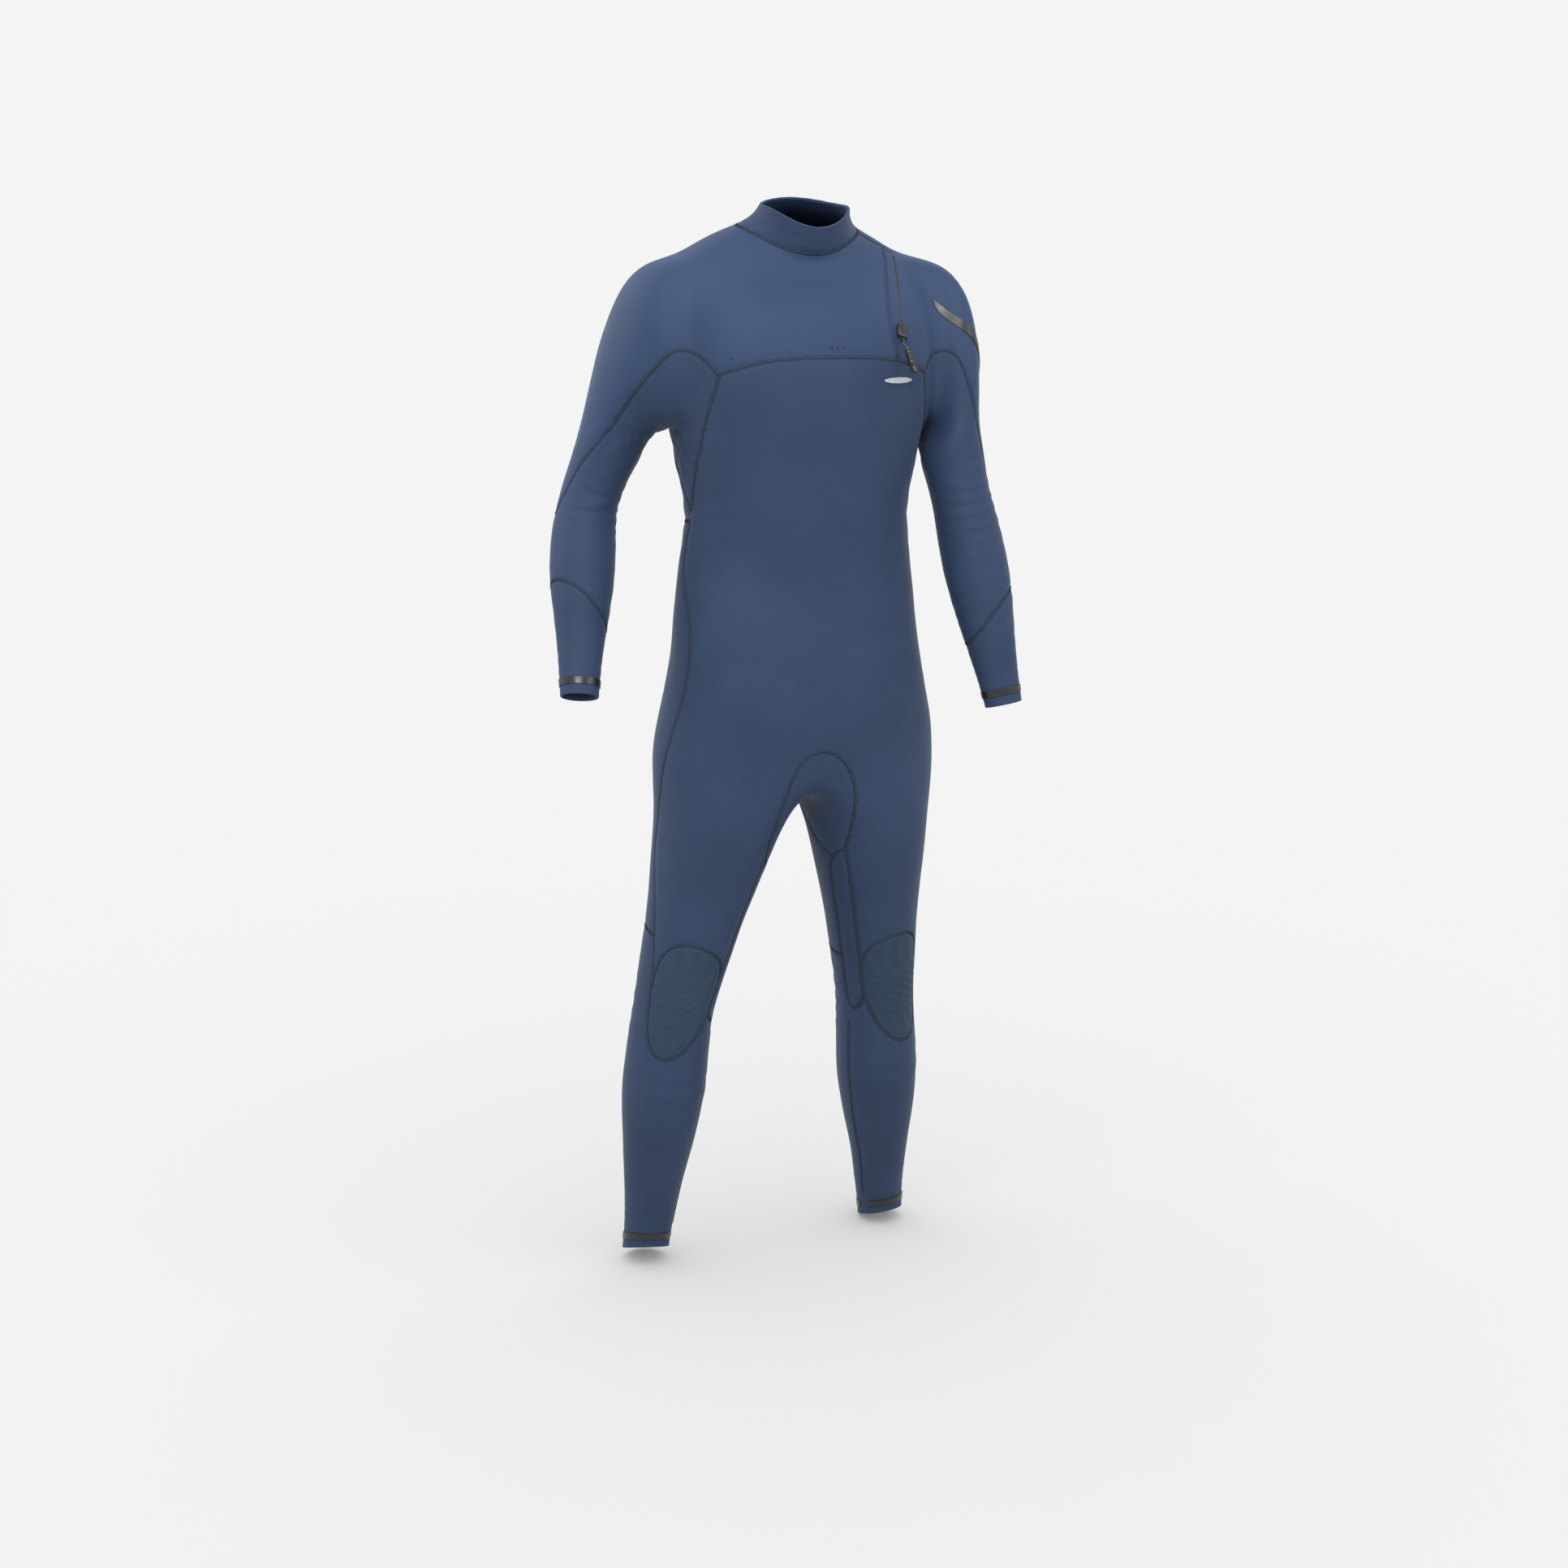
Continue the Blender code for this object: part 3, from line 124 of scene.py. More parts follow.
# Rings that fan round each armpit: outermost point, point in the armpit, half depth, squareness.
SHOULDER_FANS = {
    "left": (
        ((0.207, -0.020, 1.312), (0.173, -0.018, 1.098), 0.079, 3.0),
        ((0.232, -0.032, 1.228), (0.169, -0.030, 1.088), 0.071, 2.5),
        ((0.233, -0.045, 1.162), (0.165, -0.042, 1.078), 0.062, 2.2),
        ((0.232, -0.055, 1.112), (0.160, -0.052, 1.068), 0.054, 2.0),
    ),
    "right": (
        ((-0.207, 0.023, 1.309), (-0.179, 0.012, 1.100), 0.082, 3.0),
        ((-0.242, 0.035, 1.234), (-0.181, 0.026, 1.096), 0.074, 2.5),
        ((-0.256, 0.048, 1.174), (-0.183, 0.040, 1.093), 0.064, 2.2),
        ((-0.266, 0.060, 1.124), (-0.187, 0.054, 1.078), 0.054, 2.0),
    ),
}
# Limb rings: distance along the path, half width across the body, half depth front to back.
ARM_RINGS = (
    (0.219, 0.0405, 0.046),
    (0.269, 0.0375, 0.042),
    (0.314, 0.041, 0.044),
    (0.364, 0.044, 0.043),
    (0.414, 0.0405, 0.037),
    (0.464, 0.0325, 0.0295),
    (0.514, 0.027, 0.024),
    (0.547, 0.025, 0.0225),
)
LEG_RINGS = (
    (0.060, 0.083, 0.091),
    (0.120, 0.075, 0.083),
    (0.180, 0.0645, 0.074),
    (0.240, 0.059, 0.067),
    (0.290, 0.0545, 0.0615),
    (0.335, 0.0525, 0.0585),
    (0.390, 0.0545, 0.0595),
    (0.440, 0.0555, 0.0635),
    (0.490, 0.050, 0.057),
    (0.545, 0.0415, 0.046),
    (0.600, 0.035, 0.038),
    (0.640, 0.032, 0.0355),
    (0.668, 0.0315, 0.036),
)
ROUNDING = 0.035      # how far each side of a joint a limb path is rounded

# Seams. Torso angles are degrees from the front, limb angles degrees from outward by way of
# the back. Heights and distances along a limb are metres.
CHEST_SEAM = ((0, 1.194), (16, 1.194), (32, 1.191), (40, 1.187), (47, 1.180), (53, 1.170))
FRONT_ARMPIT = ((53, 1.170), (57, 1.184), (61, 1.196), (65, 1.202), (70, 1.204), (85, 1.212))
BACK_ARMPIT = ((95, 1.212), (110, 1.206), (118, 1.196), (124, 1.181), (128, 1.166))
BACK_SEAM = ((128, 1.166), (140, 1.171), (160, 1.165), (180, 1.160))
SIDE_SEAM = (
    (0.629, 86), (0.674, 83), (0.704, 80), (0.739, 77), (0.778, 75), (0.817, 75), (0.846, 76),
    (0.878, 80), (0.901, 85), (0.930, 88), (0.960, 87), (0.988, 84), (1.032, 77), (1.067, 70),
    (1.102, 64), (1.131, 59), (1.155, 55), (1.170, 53),
)
UNDERARM_BACK = ((0.985, 84.5), (1.020, 89), (1.060, 96), (1.100, 105), (1.140, 117), (1.166, 128))
TONGUE = (
    (0.05, 97), (0.080, 91), (0.110, 86), (0.167, 77), (0.206, 60), (0.240, 43), (0.283, 28), (0.315, 0),
)
TONGUE_MIDDLE = 10
ELBOW_ZONE = (0.225, 0.365)
FOREARM_SEAM = (0.429, 0.032)        # middle, and how far it tilts each way
WRIST_BAND = (0.526, 0.535)
ZIP_PLANE = (-0.0099, 0.180, 0.1064) # the plane of the entry zip: x = first + second * y + third * z
ZIP_AXIS = (0.040, 1.190)            # y, z that the zip line's angles turn about
SHOULDER_LINE = 66                   # where the entry slit crosses the left shoulder
ZIP_SLOT = (7, 63)
CHAIN = (8, 59)
SLIDER_TRAVEL = (12, 29, 54)        # lowest, a point between, highest
RAGLAN = (0.030, 0.45, 0.060)        # y at the collar, its slope, x at the collar
LEG_SIDE = (
    (0.0, -14), (0.05, -6), (0.1, 3), (0.15, -5), (0.178, -13), (0.221, -21), (0.255, -28), (0.29, -31),
    (0.33, -32),
)
INNER_FRONT = ((0.0, 243), (0.04, 239), (0.087, 231.5), (0.2, 230), (0.27, 231.5), (0.35, 236))
INNER_BACK = 203
KNEE_TOP = 0.31
BEHIND_KNEE = (0.236, 0.017)         # middle, and how far it tilts each way
KNEE_ZONE_END = 0.410
PAD = (
    (232, 0.262), (238, 0.241), (252, 0.227), (272, 0.220), (292, 0.219), (308, 0.226),
    (320, 0.240), (327, 0.262), (328, 0.290), (328, 0.315), (326, 0.338), (319, 0.359),
    (306, 0.374), (290, 0.377), (272, 0.369), (256, 0.352), (243, 0.332), (235, 0.312), (231, 0.288),
)
KNEE_RADIUS = 0.065                  # for laying the pad's outline flat
ANKLE_BAND = (0.646, 0.656)
HEM_SLANT = (24, 0.57, 0.08)         # degrees the ankle hems drop at the back, from where, over what length
GUSSET_REAR = ((0.0, 135), (0.03, 152), (0.06, 172), (0.085, 190), (0.108, 206))
SEAT_SEAM = (0.900, 0.55)            # height at the middle, and how fast it rises sideways
LABEL_ANGLES, LABEL_HEIGHTS = (24, 46), (1.160, 1.168)   # the plain chest label
# The shoulder stripe: its angles, its start and rise per degree, half width and highest point.
STRIPE_ANGLES, STRIPE_LINE, STRIPE_HALF, STRIPE_TOP = (268, 335), (0.0176, 0.00168), 0.0078, 1.3


# ---------------------------------------------------------------- the body form
def limit(columns):
    """How far a ring of cage points stands outside the smooth ring it makes."""
    return 3 / (2 + math.cos(2 * math.pi / columns))


def power(value, exponent):
    return math.copysign(abs(value) ** exponent, value)


def torso_point(ring, angle):
    """A cage point. Angle 0 is the front, 90 degrees the wearer's left."""
    side, front, back, width, to_front, to_back, centre, square = ring
    across, along = math.sin(angle), math.cos(angle)
    depth = to_front if along > 0 else to_back
    height = side + ((front if along > 0 else back) - side) * along * along
    grow = limit(COLUMNS)
    x = grow * width * power(across, 2 / square)
    y = centre - grow * depth * power(along, 2 / square)
    return Vector((x, y, height))


def on_path(path, distance):
    """The point this far along a path of straight runs, going on past both ends."""
    points = [Vector(p) for p in path]
    for i in range(len(points) - 1):
        run = points[i + 1] - points[i]
        if distance <= run.length or i == len(points) - 2:
            return points[i] + run * (distance / run.length)
        distance -= run.length


def rounded(path, distance):
    """The same, with the corners rounded off."""
    shares = ((-1, 0.25), (0, 0.5), (1, 0.25))
    return sum((on_path(path, distance + step * ROUNDING) * share for step, share in shares), Vector())


def limb_frame(path, distance):
    """Centre, outward and backward unit vectors of the section at this distance along a limb."""
    centre = rounded(path, distance)
    down = (rounded(path, distance + 0.01) - rounded(path, distance - 0.01)).normalized()
    if path in LEG_PATHS.values():
        share = min(max((distance - HEM_SLANT[1]) / HEM_SLANT[2], 0), 1)
        turn = math.radians(HEM_SLANT[0]) * share * share * (3 - 2 * share)
        down.rotate(Quaternion((1, 0, 0), -turn))
    back = (Vector((0, 1, 0)) - down * down.y).normalized()
    out = back.cross(down).normalized()
    if out.x * path[0][0] < 0:
        out = -out
    return centre, out, back


def limb_ring(path, ring, columns, start):
    """Cage points round a limb. Angle 0 is outward and 90 degrees is the back."""
    distance, width, depth = ring
    return ring_points(*limb_frame(path, distance), width, depth, columns, start)


def fan_ring(outer, inner, depth, square, columns):
    outer, inner = Vector(outer), Vector(inner)
    out = (outer - inner) / 2
    back = (Vector((0, 1, 0)) - out * out.y / out.length_squared).normalized()
    return ring_points((outer + inner) / 2, out.normalized(), back, out.length, depth, columns, 0.0, square)


def ring_points(centre, out, back, width, depth, columns, start, square=2.0):
    grow = limit(columns)
    points = []
    for i in range(columns):
        angle = start + 2 * math.pi * i / columns
        across, along = power(math.cos(angle), 2 / square), power(math.sin(angle), 2 / square)
        points.append(centre + grow * (out * width * across + back * depth * along))
    return points


def cage():
    """The whole suit as a coarse cage: (points, faces, the home of each face)."""
    points, faces, homes = [], [], []

    def add(new):
        points.extend(new)
        return list(range(len(points) - len(new), len(points)))

    def band(lower, upper, home, skip=()):
        for k in range(len(lower)):
            if k not in skip:
                after = (k + 1) % len(lower)
                faces.append((lower[k], lower[after], upper[after], upper[k]))
                homes.append(home)

    turn = 2 * math.pi / COLUMNS
    rings = [add([torso_point(ring, turn * k) for k in range(COLUMNS)]) for ring in TORSO]
    for i in range(len(rings) - 1):
        hole = (3, 4, 11, 12) if ARMPIT_RING <= i < SHOULDER_RING else ()
        band(rings[i], rings[i + 1], "collar" if i >= COLLAR_RING else "torso", hole)

    # Each armhole is two columns wide. Its edge is walked from the top towards the back.
    for side, middle, step in (("left", 4, 1), ("right", 12, -1)):
        low, high = ARMPIT_RING, SHOULDER_RING
        walk = [(high, middle), (high, middle + step)]
        walk += [(i, middle + step) for i in range(high - 1, low - 1, -1)]
        walk += [(low, middle), (low, middle - step)]
        walk += [(i, middle - step) for i in range(low + 1, high + 1)]
        first = [rings[i][k % COLUMNS] for i, k in walk]
        made = [fan_ring(*fan, ARM_COLUMNS) for fan in SHOULDER_FANS[side]]
        made += [limb_ring(ARM_PATHS[side], ring, ARM_COLUMNS, 0.0) for ring in ARM_RINGS]
        for new in map(add, made):
            band(*((new, first) if side == "left" else (first, new)), side + " arm")
            first = new

    # The crotch joins the bottom ring front to back, and each leg takes half of that ring.
    crotch = add([Vector((0, y, z)) for y, z in CROTCH])
    half = COLUMNS // 2
    start = -math.pi / 2 - 2 * math.pi / LEG_COLUMNS
    for side in ("left", "right"):
        outside = [rings[0][k if side == "left" else (COLUMNS - k) % COLUMNS] for k in range(half + 1)]
        first = outside + crotch[::-1]
        for ring in LEG_RINGS:
            new = add(limb_ring(LEG_PATHS[side], ring, LEG_COLUMNS, start))
            band(*((new, first) if side == "left" else (first, new)), side + " leg")
            first = new
    return points, faces, homes


HOMES = ("torso", "collar", "left arm", "right arm", "left leg", "right leg")


def body_form(levels):
    """The smooth outside of the suit, open at the neck, wrists and ankles, as a mesh."""
    points, faces, homes = cage()
    mesh = bpy.data.meshes.new("form")
    mesh.from_pydata(points, [], faces)
    mesh.polygons.foreach_set("material_index", [HOMES.index(home) for home in homes])
    helper = bpy.data.objects.new("form", mesh)
    bpy.context.scene.collection.objects.link(helper)
    for _ in HOMES:
        mesh.materials.append(None)
    smooth = helper.modifiers.new("smooth", "SUBSURF")
    smooth.levels = smooth.render_levels = levels
    smooth.boundary_smooth = "PRESERVE_CORNERS"
    graph = bpy.context.evaluated_depsgraph_get()
    made = bpy.data.meshes.new_from_object(helper.evaluated_get(graph))
    bpy.data.objects.remove(helper)
    bpy.data.meshes.remove(mesh)
    return made


# ---------------------------------------------------------------- seam fields
# A field is zero on its seam and runs in about metres. Factors from 0.0006 to 0.0028 turn degrees
# into metres there.
def through(knots, at):
    """A smooth curve through the knots, level beyond its ends."""
    x, y = np.array(knots, float).T
    slope = np.gradient(y, x)
    i = np.clip(np.searchsorted(x, at) - 1, 0, len(x) - 2)
    step = x[i + 1] - x[i]
    t = np.clip((at - x[i]) / step, 0, 1)
    start = y[i] * (1 + 2 * t) + step * slope[i] * t
    end = y[i + 1] * (3 - 2 * t) - step * slope[i + 1] * (1 - t)
    return start * (1 - t) ** 2 + end * t**2


def turn_of(angle):
    """An angle in degrees as the nearest turn from zero, -180 to 180."""
    return (angle + 180) % 360 - 180


def torso_chart(points):
    """Degrees from the front, and height."""
    return np.degrees(np.arctan2(points[:, 0], -points[:, 1])), points[:, 2]


CHART = (0.06, 0.72)                 # how far a limb's chart starts before it, and its end


def limb_chart(points, path, step=0.004):
    """Distance along a limb, and degrees from outward by way of the back."""
    before, end = CHART
    frames = [limb_frame(path, step * i - before) for i in range(int((end + before) / step))]
    centre, out, back = (np.array([[*frame[k]] for frame in frames]) for k in range(3))
    nearest = ((points[:, None] - centre[None]) ** 2).sum(2).argmin(1)
    offset = points - centre[nearest]
    down = np.cross(out[nearest], back[nearest])
    down *= np.sign(-down[:, 2:])
    along = step * nearest - before + (offset * down).sum(1)
    angle = np.degrees(np.arctan2((offset * back[nearest]).sum(1), (offset * out[nearest]).sum(1)))
    return along, angle % 360


def inside_outline(u, v, outline):
    """Signed distance to a smooth closed outline, positive inside."""
    knots = np.array(outline, float)
    before, after, later = np.roll(knots, 1, 0), np.roll(knots, -1, 0), np.roll(knots, -2, 0)
    line = []
    for t in np.arange(6) / 6:
        a = -t / 2 + t * t - t**3 / 2
        b = 1 - 2.5 * t * t + 1.5 * t**3
        c = t / 2 + 2 * t * t - 1.5 * t**3
        d = (t**3 - t * t) / 2
        line.append(a * before + b * knots + c * after + d * later)
    line = np.stack(line, 1).reshape(-1, 2)
    ends = np.roll(line, -1, 0)
    distance = np.full(len(u), 9.0)
    crossings = np.zeros(len(u), int)
    for (x0, y0), (x1, y1) in zip(line, ends):
        dx, dy = x1 - x0, y1 - y0
        t = np.clip(((u - x0) * dx + (v - y0) * dy) / (dx * dx + dy * dy), 0, 1)
        distance = np.minimum(distance, np.hypot(u - x0 - t * dx, v - y0 - t * dy))
        crossings += ((y0 > v) != (y1 > v)) & (u < x0 + (v - y0) * dx / (dy if dy else 1e-9))
    return np.where(crossings % 2 == 1, distance, -distance)


def upper_body(points, on_arm):
    """Positive above the chest and back seams, and on the outer sleeves down to the elbows."""
    angle, height = torso_chart(points)
    angle = abs(angle)
    line = np.where(angle < CHEST_SEAM[-1][0], through(CHEST_SEAM, angle), through(FRONT_ARMPIT, angle))
    line = np.where(angle > 90, through(BACK_ARMPIT, angle), line)
    line = np.where(angle > BACK_SEAM[0][0], through(BACK_SEAM, angle), line)
    field = height - line
    for side, path in ARM_PATHS.items():
        along, round_arm = limb_chart(points, path)
        tongue = (through(TONGUE, along) - abs(turn_of(round_arm - TONGUE_MIDDLE))) * 0.0009
        tongue = np.minimum(tongue, 0.325 - along)
        field = np.where(on_arm[side], np.maximum(field, tongue), field)
    return field


def underarm(points):
    """Positive on the torso's part of the underarm panels."""
    angle, height = torso_chart(points)
    front, back = through(SIDE_SEAM, height), through(UNDERARM_BACK, height)
    field = np.minimum(abs(angle) - front, back - abs(angle)) * 0.0026
    return np.where(height > 0.96, field, -0.02)


def zip_chart(points):
    """Degrees up from the front about the zip's axis."""
    return np.degrees(np.arctan2(points[:, 2] - ZIP_AXIS[1], ZIP_AXIS[0] - points[:, 1]))


def zip_x(y, z):
    return ZIP_PLANE[0] + ZIP_PLANE[1] * y + ZIP_PLANE[2] * z


def left_of_zip(points):
    """Positive on the wearer's left of the entry slit, which turns over the shoulder to the collar."""
    angle = zip_chart(points)
    beside = points[:, 0] - zip_x(points[:, 1], points[:, 2])
    behind = np.minimum((angle - SHOULDER_LINE) * 0.0026, points[:, 0] - 0.03)
    return np.maximum(beside, behind)


def behind_raglan(points):
    start, slope, collar = RAGLAN
    return points[:, 1] - start - slope * (abs(points[:, 0]) - collar)


def behind_leg_sides(along, angle):
    """Positive behind the outer and inner seams of a leg, in degrees."""
    outer = turn_of(angle - through(LEG_SIDE, along))
    inner = turn_of(through(INNER_FRONT, along) - angle)
    return np.where(turn_of(angle - 285) > 0, outer, inner)


def front_half(points, legs):
    """Positive in front of the side seams and the inner leg seams."""
    angle, height = torso_chart(points)
    torso = (through(SIDE_SEAM, height) - abs(angle)) * 0.0028
    low = np.clip((0.70 - height) / 0.05, 0, 1)
    low = low * low * (3 - 2 * low)
    leg = np.zeros(len(points))
    for side, (along, round_leg) in legs.items():
        mine = points[:, 0] > 0 if side == "left" else points[:, 0] <= 0
        leg = np.where(mine, -behind_leg_sides(along, round_leg) * 0.0014, leg)
    return torso * (1 - low) + leg * low


def gusset_end(angle):
    """Where the gusset's wing gives way to the inner thigh strip, along the leg."""
    return 0.087 + (231 - angle) * 0.00084


def gusset(points, on_leg, legs):
    """Positive on the crotch gusset, with its two wings."""
    x, y, height = points.T
    front = 0.695 - 0.040 * (abs(x) / 0.045) ** 2.5
    rear = 0.672 - 0.035 * (abs(x) / 0.050) ** 2
    field = np.where(y < 0, front, rear) - height
    for side, (along, angle) in legs.items():
        ahead = through(INNER_FRONT, along) - angle
        behind = angle - through(GUSSET_REAR, along)
        wing = np.minimum(np.minimum(ahead, behind) * 0.0013, gusset_end(angle) - along)
        field = np.where(on_leg[side], wing, field)
    return np.where(height < 0.72, field, -0.02)


def inner_strip(along, angle):
    """Positive on the strip down the inside of a thigh."""
    sides = np.minimum(angle - INNER_BACK, through(INNER_FRONT, along) - angle) * 0.0011
    ends = np.minimum(along - gusset_end(angle), 0.331 - (angle - 210) * 0.0003 - along)
    return np.minimum(sides, ends)


def lower_leg(along, angle):
    """Positive below the knee, and higher up at the back."""
    middle, tilt = BEHIND_KNEE
    top = middle - tilt * np.cos(np.radians(angle - 10))
    behind = np.minimum(along - top, behind_leg_sides(along, angle) * 0.0011)
    return np.maximum(along - KNEE_TOP, behind)


# ---------------------------------------------------------------- cutting
SCRAP = 0.0004        # the largest detached piece that is given away, in square metres


class Cloth:
    """The whole surface, with a label on every face."""

    def __init__(self, levels):
        form = body_form(levels)
        self.bm = bmesh.new()
        self.bm.from_mesh(form)
        bpy.data.meshes.remove(form)
        fine = body_form(levels + 2)
        self.fine = BVHTree.FromPolygons([v.co for v in fine.vertices], [p.vertices for p in fine.polygons])
        bpy.data.meshes.remove(fine)
        self.home = {face: HOMES[face.material_index] for face in self.bm.faces}
        self.label = dict(self.home)

    def settle(self, vert):
        vert.co = self.fine.find_nearest(vert.co)[0]

    def on_line(self, vert):
        """Whether this point is already on a seam or a hem."""
        return vert.is_boundary or len({self.label[face] for face in vert.link_faces}) > 1

    def points(self):
        self.bm.verts.index_update()
        return np.array([[*v.co] for v in self.bm.verts])

    def on(self, part):
        """For each side, which points belong to this limb."""
        found = {}
        for side in ("left", "right"):
            home = f"{side} {part}"
            found[side] = np.array([any(self.home[f] == home for f in v.link_faces) for v in self.bm.verts])
        return found

    def split(self, labels, values, name, home=None):
        """Cuts the faces under these labels where the values are zero, and renames the positive side."""
        faces = [f for f in self.bm.faces if self.label[f] in labels and home in (None, self.home[f])]
        verts = list(self.bm.verts)
        value = {vert: float(values[i]) for i, vert in enumerate(verts)}
        edges = list({edge: None for face in faces for edge in face.edges})
        near = {}
        for edge in edges:
            a, b = edge.verts
            if value[a] * value[b] < 0:
                share = value[a] / (value[a] - value[b])
                vert, other, part = (a, b, share) if share < 0.5 else (b, a, 1 - share)
                if part < 0.2 and (vert not in near or part < near[vert][0]):
                    near[vert] = (part, vert.co.lerp(other.co, part))
        for vert, (_, place) in near.items():
            if not self.on_line(vert):
                vert.co = place
                self.settle(vert)
            value[vert] = 0.0
        for edge in edges:
            a, b = edge.verts
            if value[a] * value[b] < 0:
                share = value[a] / (value[a] - value[b])
                _, vert = bmesh.utils.edge_split(edge, a, share)
                value[vert] = 0.0
                if not vert.is_boundary:
                    self.settle(vert)
        for face in faces:
            for piece in self.divide(face, value):
                if sum(value[vert] for vert in piece.verts) > 0:
                    self.label[piece] = name

    def pick(self, labels, fields, base, name, home=None):
        """Marks the part of a panel that lies under a trim: where all of these fields are positive."""
        trim = f"{base}+{name}"
        for i, field in enumerate(fields):
            if i:
                self.split({trim}, -field(self.points()), base, home)
            else:
                self.split(labels, field(self.points()), trim, home)

    def divide(self, face, value):
        """Splits a face between zero points, so that no piece has both signs."""
        loop = list(face.verts)
        count = len(loop)
        signs = {value[vert] > 0 for vert in loop if value[vert]}
        if len(signs) < 2:
            return [face]
        for i in range(count):
            if value[loop[i]]:
                continue
            j = i + 1
            above = value[loop[(i + 1) % count]] > 0
            while value[loop[j % count]] and (value[loop[j % count]] > 0) == above:
                j += 1
            if j - i < 2 or j - i > count - 2 or value[loop[j % count]]:
                continue
            new, _ = bmesh.utils.face_split(face, loop[i], loop[j % count])
            self.home[new], self.label[new] = self.home[face], self.label[face]
            return self.divide(face, value) + self.divide(new, value)
        return [face]

    def absorb_scraps(self):
        """Gives any detached scrap of a panel to the neighbour it shares most edge with."""
        left = set(self.bm.faces)
        while left:
            patch = [left.pop()]
            name = self.label[patch[0]].split("+")[0]
            rim = {}
            for face in patch:
                for edge in face.edges:
                    for other in edge.link_faces:
                        if other in left and self.label[other].split("+")[0] == name:
                            left.discard(other)
                            patch.append(other)
                        elif self.label[other].split("+")[0] != name:
                            beside = self.label[other].split("+")[0]
                            rim[beside] = rim.get(beside, 0) + edge.calc_length()
            if rim and sum(face.calc_area() for face in patch) < SCRAP:
                for face in patch:
                    self.label[face] = max(rim, key=rim.get)


def between(chart, low, high, scale=1.0):
    """Two fields, positive above low and below high on a chart."""
    return (lambda points: (chart(points) - low) * scale, lambda points: (high - chart(points)) * scale)


def cut_panels(cloth):
    """Cuts every seam in turn."""
    for side in ("left", "right"):
        arm = f"{side} arm"
        for start, name in ((ELBOW_ZONE[0], "elbow"), (ELBOW_ZONE[1], "forearm")):
            along, _ = limb_chart(cloth.points(), ARM_PATHS[side])
            cloth.split({arm, f"elbow_{side}"}, along - start, f"{name}_{side}", arm)
        along, angle = limb_chart(cloth.points(), ARM_PATHS[side])
        middle, tilt = FOREARM_SEAM
        seam = middle - tilt * np.cos(np.radians(angle + 10))
        cloth.split({f"forearm_{side}"}, along - seam, f"cuff_{side}", arm)
        band = between(lambda points: limb_chart(points, ARM_PATHS[side])[0], *WRIST_BAND)
        cloth.pick({f"cuff_{side}"}, band, f"cuff_{side}", f"wrist_band_{side}")

    values = upper_body(cloth.points(), cloth.on("arm"))
    cloth.split({"torso", "left arm", "right arm"}, values, "chest_yoke")
    for side in ("left", "right"):
        values = upper_body(cloth.points(), cloth.on("arm"))
        cloth.split({f"elbow_{side}"}, values, f"elbow_{side}~top", f"{side} arm")
    cloth.split({"torso"}, underarm(cloth.points()), "underarm")
    cloth.split({"chest_yoke"}, behind_raglan(cloth.points()), "back_yoke", "torso")
    cloth.split({"chest_yoke"}, left_of_zip(cloth.points()), "left_shoulder", "torso")

    charts = leg_charts(cloth)
    values = gusset(cloth.points(), cloth.on("leg"), charts)
    cloth.split({"torso", "left leg", "right leg"}, values, "crotch_gusset")
    flat = [(math.radians(turn) * KNEE_RADIUS, at) for turn, at in PAD]
    for side in ("left", "right"):
        leg = f"{side} leg"
        along, angle = leg_charts(cloth)[side]
        pad = inside_outline(np.radians(angle) * KNEE_RADIUS, along, flat)
        cloth.split({leg}, pad, f"knee_pad_{side}", leg)
        cloth.split({leg}, inner_strip(*leg_charts(cloth)[side]), f"inner_thigh_{side}", leg)
        cloth.split({leg}, lower_leg(*leg_charts(cloth)[side]), f"knee_back_{side}", leg)
        cloth.split({f"knee_back_{side}"}, leg_charts(cloth)[side][0] - KNEE_ZONE_END, f"shin_{side}", leg)
        path = LEG_PATHS[side]
        band = (
            *between(lambda points: limb_chart(points, path)[0], *ANKLE_BAND),
            lambda points: (abs(turn_of(limb_chart(points, path)[1] - INNER_BACK)) - 10) * 0.0006,
        )
        cloth.pick({f"shin_{side}"}, band, f"shin_{side}", f"ankle_band_{side}")
    front = front_half(cloth.points(), leg_charts(cloth))
    cloth.split({"torso", "left leg", "right leg"}, front, "front_panel")

    points = cloth.points()
    low = SEAT_SEAM[0] + SEAT_SEAM[1] * abs(points[:, 0]) - points[:, 2]
    cloth.split({"torso"}, low, "seat", "torso")
    cloth.split({"seat"}, cloth.points()[:, 0], "seat_left")
    rename(cloth)
    label = (
        *between(lambda points: torso_chart(points)[1], *LABEL_HEIGHTS),
        *between(lambda points: torso_chart(points)[0], *LABEL_ANGLES, 0.0022),
    )
    cloth.pick({"front_panel"}, label, "front_panel", "chest_label", "torso")
    stripe = (
        *between(lambda points: stripe_chart(points)[0], -STRIPE_HALF, STRIPE_HALF),
        *between(lambda points: stripe_chart(points)[1], *STRIPE_ANGLES, 0.0011),
        lambda points: STRIPE_TOP - points[:, 2],
    )
    cloth.pick({"left_shoulder"}, stripe, "left_shoulder", "shoulder_stripe")


def stripe_chart(points):
    """Distance from the middle of the shoulder stripe, and degrees round the arm."""
    start, rise = STRIPE_LINE
    along, angle = limb_chart(points, ARM_PATHS["left"])
    angle = np.where(angle < 150, angle + 360, angle)
    return along - start - rise * (angle - STRIPE_ANGLES[0]), angle


def leg_charts(cloth):
    points = cloth.points()
    return {side: limb_chart(points, path) for side, path in LEG_PATHS.items()}


